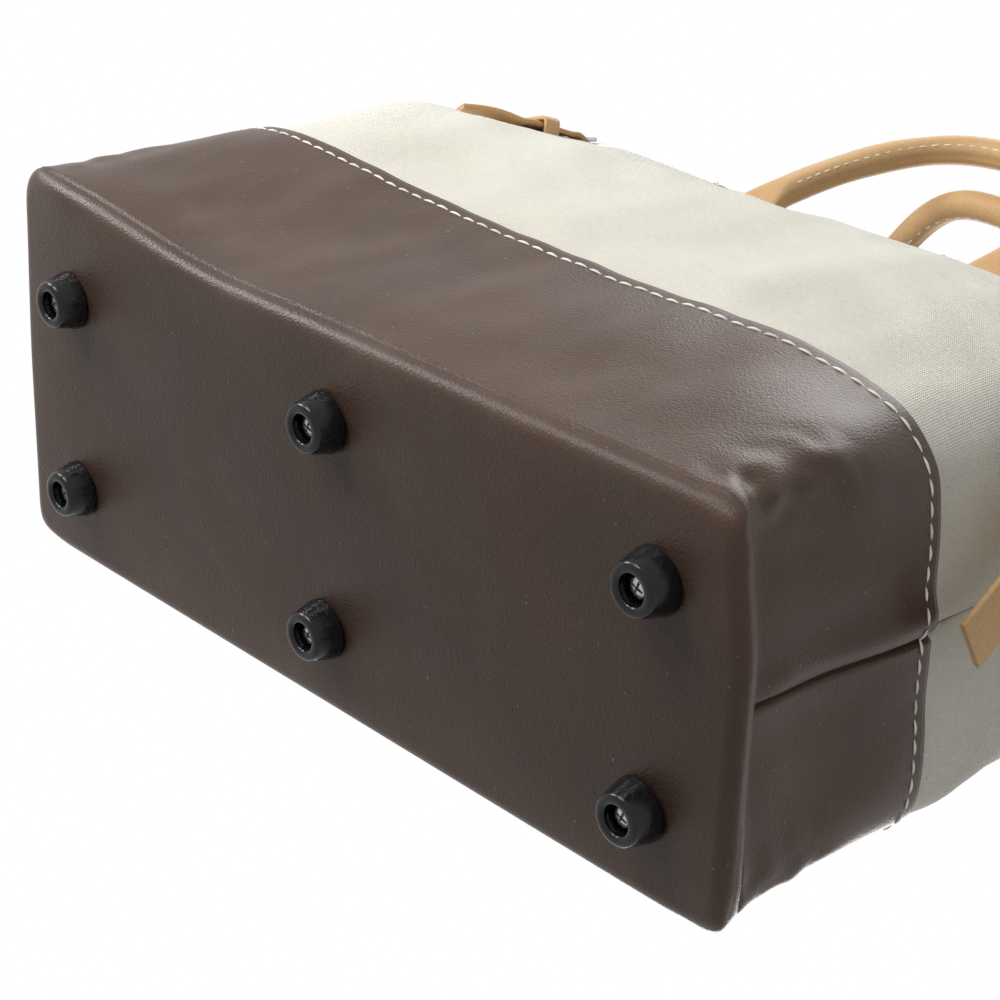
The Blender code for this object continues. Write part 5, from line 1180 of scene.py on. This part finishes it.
def punch(obj, holes):
    """Cut round holes and a slot through a strap: each has a middle, the way along, the way through and a stretch."""
    for middle, along, through, stretch in holes:
        middle = Vector(middle) + BAG_MIDDLE
        if min((vertex.co - middle).length for vertex in obj.data.vertices) > STRAP_WIDTH:
            continue
        along = Vector(along).normalized()
        through = (Vector(through) - along * along.dot(Vector(through))).normalized()
        turn = Matrix((along.cross(through), along, through)).transposed().to_4x4()
        size = Matrix.Diagonal((HOLE_RADIUS, HOLE_RADIUS * stretch, 1.0, 1.0))
        bm = bmesh.new()
        bmesh.ops.create_cone(bm, cap_ends=True, segments=24, radius1=1.0, radius2=1.0, depth=4.0 * STRAP_THICKNESS,
                              matrix=Matrix.Translation(middle) @ turn @ size)
        cut_away(obj, mesh_of("punch", bm))


def smooth_route(route):
    points = [Vector(point) + BAG_MIDDLE for point, _ in route]
    sides = [Vector(across) for _, across in route]
    dense = []
    for k in range(len(points) - 1):
        before = points[max(k - 1, 0)]
        after = points[min(k + 2, len(points) - 1)]
        for i in range(12):
            t = i / 12.0
            leave = (points[k + 1] - before) / 2.0
            arrive = (after - points[k]) / 2.0
            place = (points[k] * (2 * t ** 3 - 3 * t ** 2 + 1) + leave * (t ** 3 - 2 * t ** 2 + t)
                     + points[k + 1] * (-2 * t ** 3 + 3 * t ** 2) + arrive * (t ** 3 - t ** 2))
            dense.append((place, sides[k].lerp(sides[k + 1], t)))
    dense.append((points[-1], sides[-1]))
    length = sum((b[0] - a[0]).length for a, b in zip(dense, dense[1:]))
    even = even_points([place for place, _ in dense], round(length / STRAP_STEP) + 1)
    return [(place, min(dense, key=lambda pair: (pair[0] - place).length)[1]) for place in even]


def strap_piece(name, stations, body, start, end, holes, replaced=()):
    """One length of a strap, with rounded edges, raw-edged sides and ends, and its holes punched."""
    half_wide, half_thick = STRAP_WIDTH / 2.0 - STRAP_EDGE_RADIUS, STRAP_THICKNESS / 2.0 - STRAP_EDGE_RADIUS
    rows = []
    for (point, across), tangent in zip(stations, directions([point for point, _ in stations])):
        across = (across - tangent * across.dot(tangent)).normalized()
        out = tangent.cross(across)
        ring = []
        for a, b, start_angle in ((1, 1, 0.0), (-1, 1, 90.0), (-1, -1, 180.0), (1, -1, 270.0)):
            for k in range(STRAP_CORNER_STEPS):
                angle = radians(start_angle + 90.0 * k / (STRAP_CORNER_STEPS - 1))
                ring.append(point + across * (a * half_wide + STRAP_EDGE_RADIUS * cos(angle))
                            + out * (b * half_thick + STRAP_EDGE_RADIUS * sin(angle)))
        rows.append(ring)
    obj = grid_object(name, rows)
    close_ends(obj, len(rows[0]), RAW_FACES)
    finish_piece(obj, LEATHER, "leather", *replaced)
    obj.data.materials.append(RAW_EDGE)
    punch(obj, holes)
    shade(obj.data, 50.0)
    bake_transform(obj)


def make_strap(name, way, tail, node):
    shared = [((x * way, y, z), (ax, ay * way, az * way)) for (x, y, z), (ax, ay, az) in SHARED_ROUTE]
    stations = smooth_route(shared + tail)
    over = [k for k, (point, _) in enumerate(stations) if point.z > 0.35]
    middle = min(over, key=lambda k: abs(stations[k][0].y))
    strap_piece(name + "_back", stations[:middle + 1], "back_frame", *STRAP_BACK_BEND, (), (node,))
    strap_piece(name + "_front", stations[middle:], "front_frame", *STRAP_FRONT_BEND, STRAP_HOLES[name])


make_strap("left_strap", -1.0, LEFT_TAIL, "left_closure_strap")
make_strap("right_strap", 1.0, RIGHT_TAIL, "right_closure_strap")


# Floor, light and camera


FLOOR_REACH = 40.0
FLOOR_DROP = 0.0004
FLOOR_GLOW = 0.58
ROOM_LIGHT = 0.27
LENS = 80.8
CAMERA_PLACE = (0.584801, -0.365933, -0.470161)
CAMERA_TURN_DEG = (157.225876, -46.737568, -2.894407)


def make_floor():
    """A pale floor that keeps the bag's shadow, and that a camera below it looks through."""
    reach = FLOOR_REACH
    mesh = new_mesh("floor", [(-reach, -reach, 0.0), (reach, -reach, 0.0), (reach, reach, 0.0), (-reach, reach, 0.0)],
                    [(0, 1, 2, 3)])
    floor = mesh_object("floor", mesh)
    floor.location.z = -FLOOR_DROP
    material, tree, shader = new_material("pale floor")
    shader.inputs["Base Color"].default_value = (0.80, 0.80, 0.79, 1.0)
    shader.inputs["Roughness"].default_value = 0.9
    clear = tree.nodes.new("ShaderNodeBsdfTransparent")
    chooser = tree.nodes.new("ShaderNodeMixShader")
    facing = tree.nodes.new("ShaderNodeNewGeometry").outputs["Backfacing"]
    ray = tree.nodes.new("ShaderNodeLightPath").outputs
    through = maths(tree, "MAXIMUM", ray["Is Shadow Ray"], ray["Is Glossy Ray"])
    tree.links.new(maths(tree, "MAXIMUM", facing, through), chooser.inputs["Fac"])
    shader.inputs["Emission Color"].default_value = (0.98, 0.98, 0.97, 1.0)
    tree.links.new(maths(tree, "MULTIPLY", ray["Is Camera Ray"], FLOOR_GLOW), shader.inputs["Emission Strength"])
    tree.links.new(shader.outputs["BSDF"], chooser.inputs[1])
    tree.links.new(clear.outputs["BSDF"], chooser.inputs[2])
    tree.links.new(chooser.outputs["Shader"], tree.nodes["Material Output"].inputs["Surface"])
    mesh.materials.append(material)


make_floor()
scene = bpy.context.scene
world = bpy.data.worlds.new("studio")
world.use_nodes = True
world.node_tree.nodes["Background"].inputs["Color"].default_value = (1.0, 1.0, 1.0, 1.0)
seen = world.node_tree.nodes.new("ShaderNodeLightPath").outputs
shown = maths(world.node_tree, "MAXIMUM", seen["Is Camera Ray"], seen["Is Glossy Ray"])
shown = maths(world.node_tree, "MAXIMUM", shown, seen["Is Transmission Ray"])
level = value_node(world.node_tree, "ShaderNodeMapRange")
level.inputs["To Min"].default_value = ROOM_LIGHT
world.node_tree.links.new(shown, level.inputs["Value"])
world.node_tree.links.new(level.outputs["Result"], world.node_tree.nodes["Background"].inputs["Strength"])
scene.world = world

camera_data = bpy.data.cameras.new("camera")
camera_data.lens = LENS
camera_data.sensor_width = 36.0
camera = bpy.data.objects.new("camera", camera_data)
scene.collection.objects.link(camera)
camera.location = CAMERA_PLACE
camera.rotation_euler = [radians(angle) for angle in CAMERA_TURN_DEG]
scene.camera = camera
bpy.context.view_layer.update()


def add_lamp(name, place, aim, size, power):
    data = bpy.data.lights.new(name, "AREA")
    data.shape = "DISK"
    data.size = size
    data.energy = power
    lamp = bpy.data.objects.new(name, data)
    lamp.location = place
    lamp.rotation_euler = (aim - place).to_track_quat("-Z", "Y").to_euler()
    scene.collection.objects.link(lamp)


turn = camera.matrix_world.to_3x3()
right, up, back = turn @ Vector((1, 0, 0)), turn @ Vector((0, 1, 0)), turn @ Vector((0, 0, 1))
bag_middle = BAG_MIDDLE + Vector((0.0, 0.0, 0.16))
add_lamp("key", bag_middle + up * 1.25 - right * 0.75 + back * 0.75, bag_middle, 0.7, 14.0)
add_lamp("edge", bag_middle + Vector((-0.717, -0.581, -0.331)) * 1.2, bag_middle, 0.35, 6.5)
add_lamp("top", Vector((-0.5, -0.9, 1.7)), bag_middle, 1.2, 16.0)
add_lamp("rear", Vector((-0.5, 1.5, 1.2)), bag_middle, 1.2, 18.0)

scene.view_settings.view_transform = "Standard"
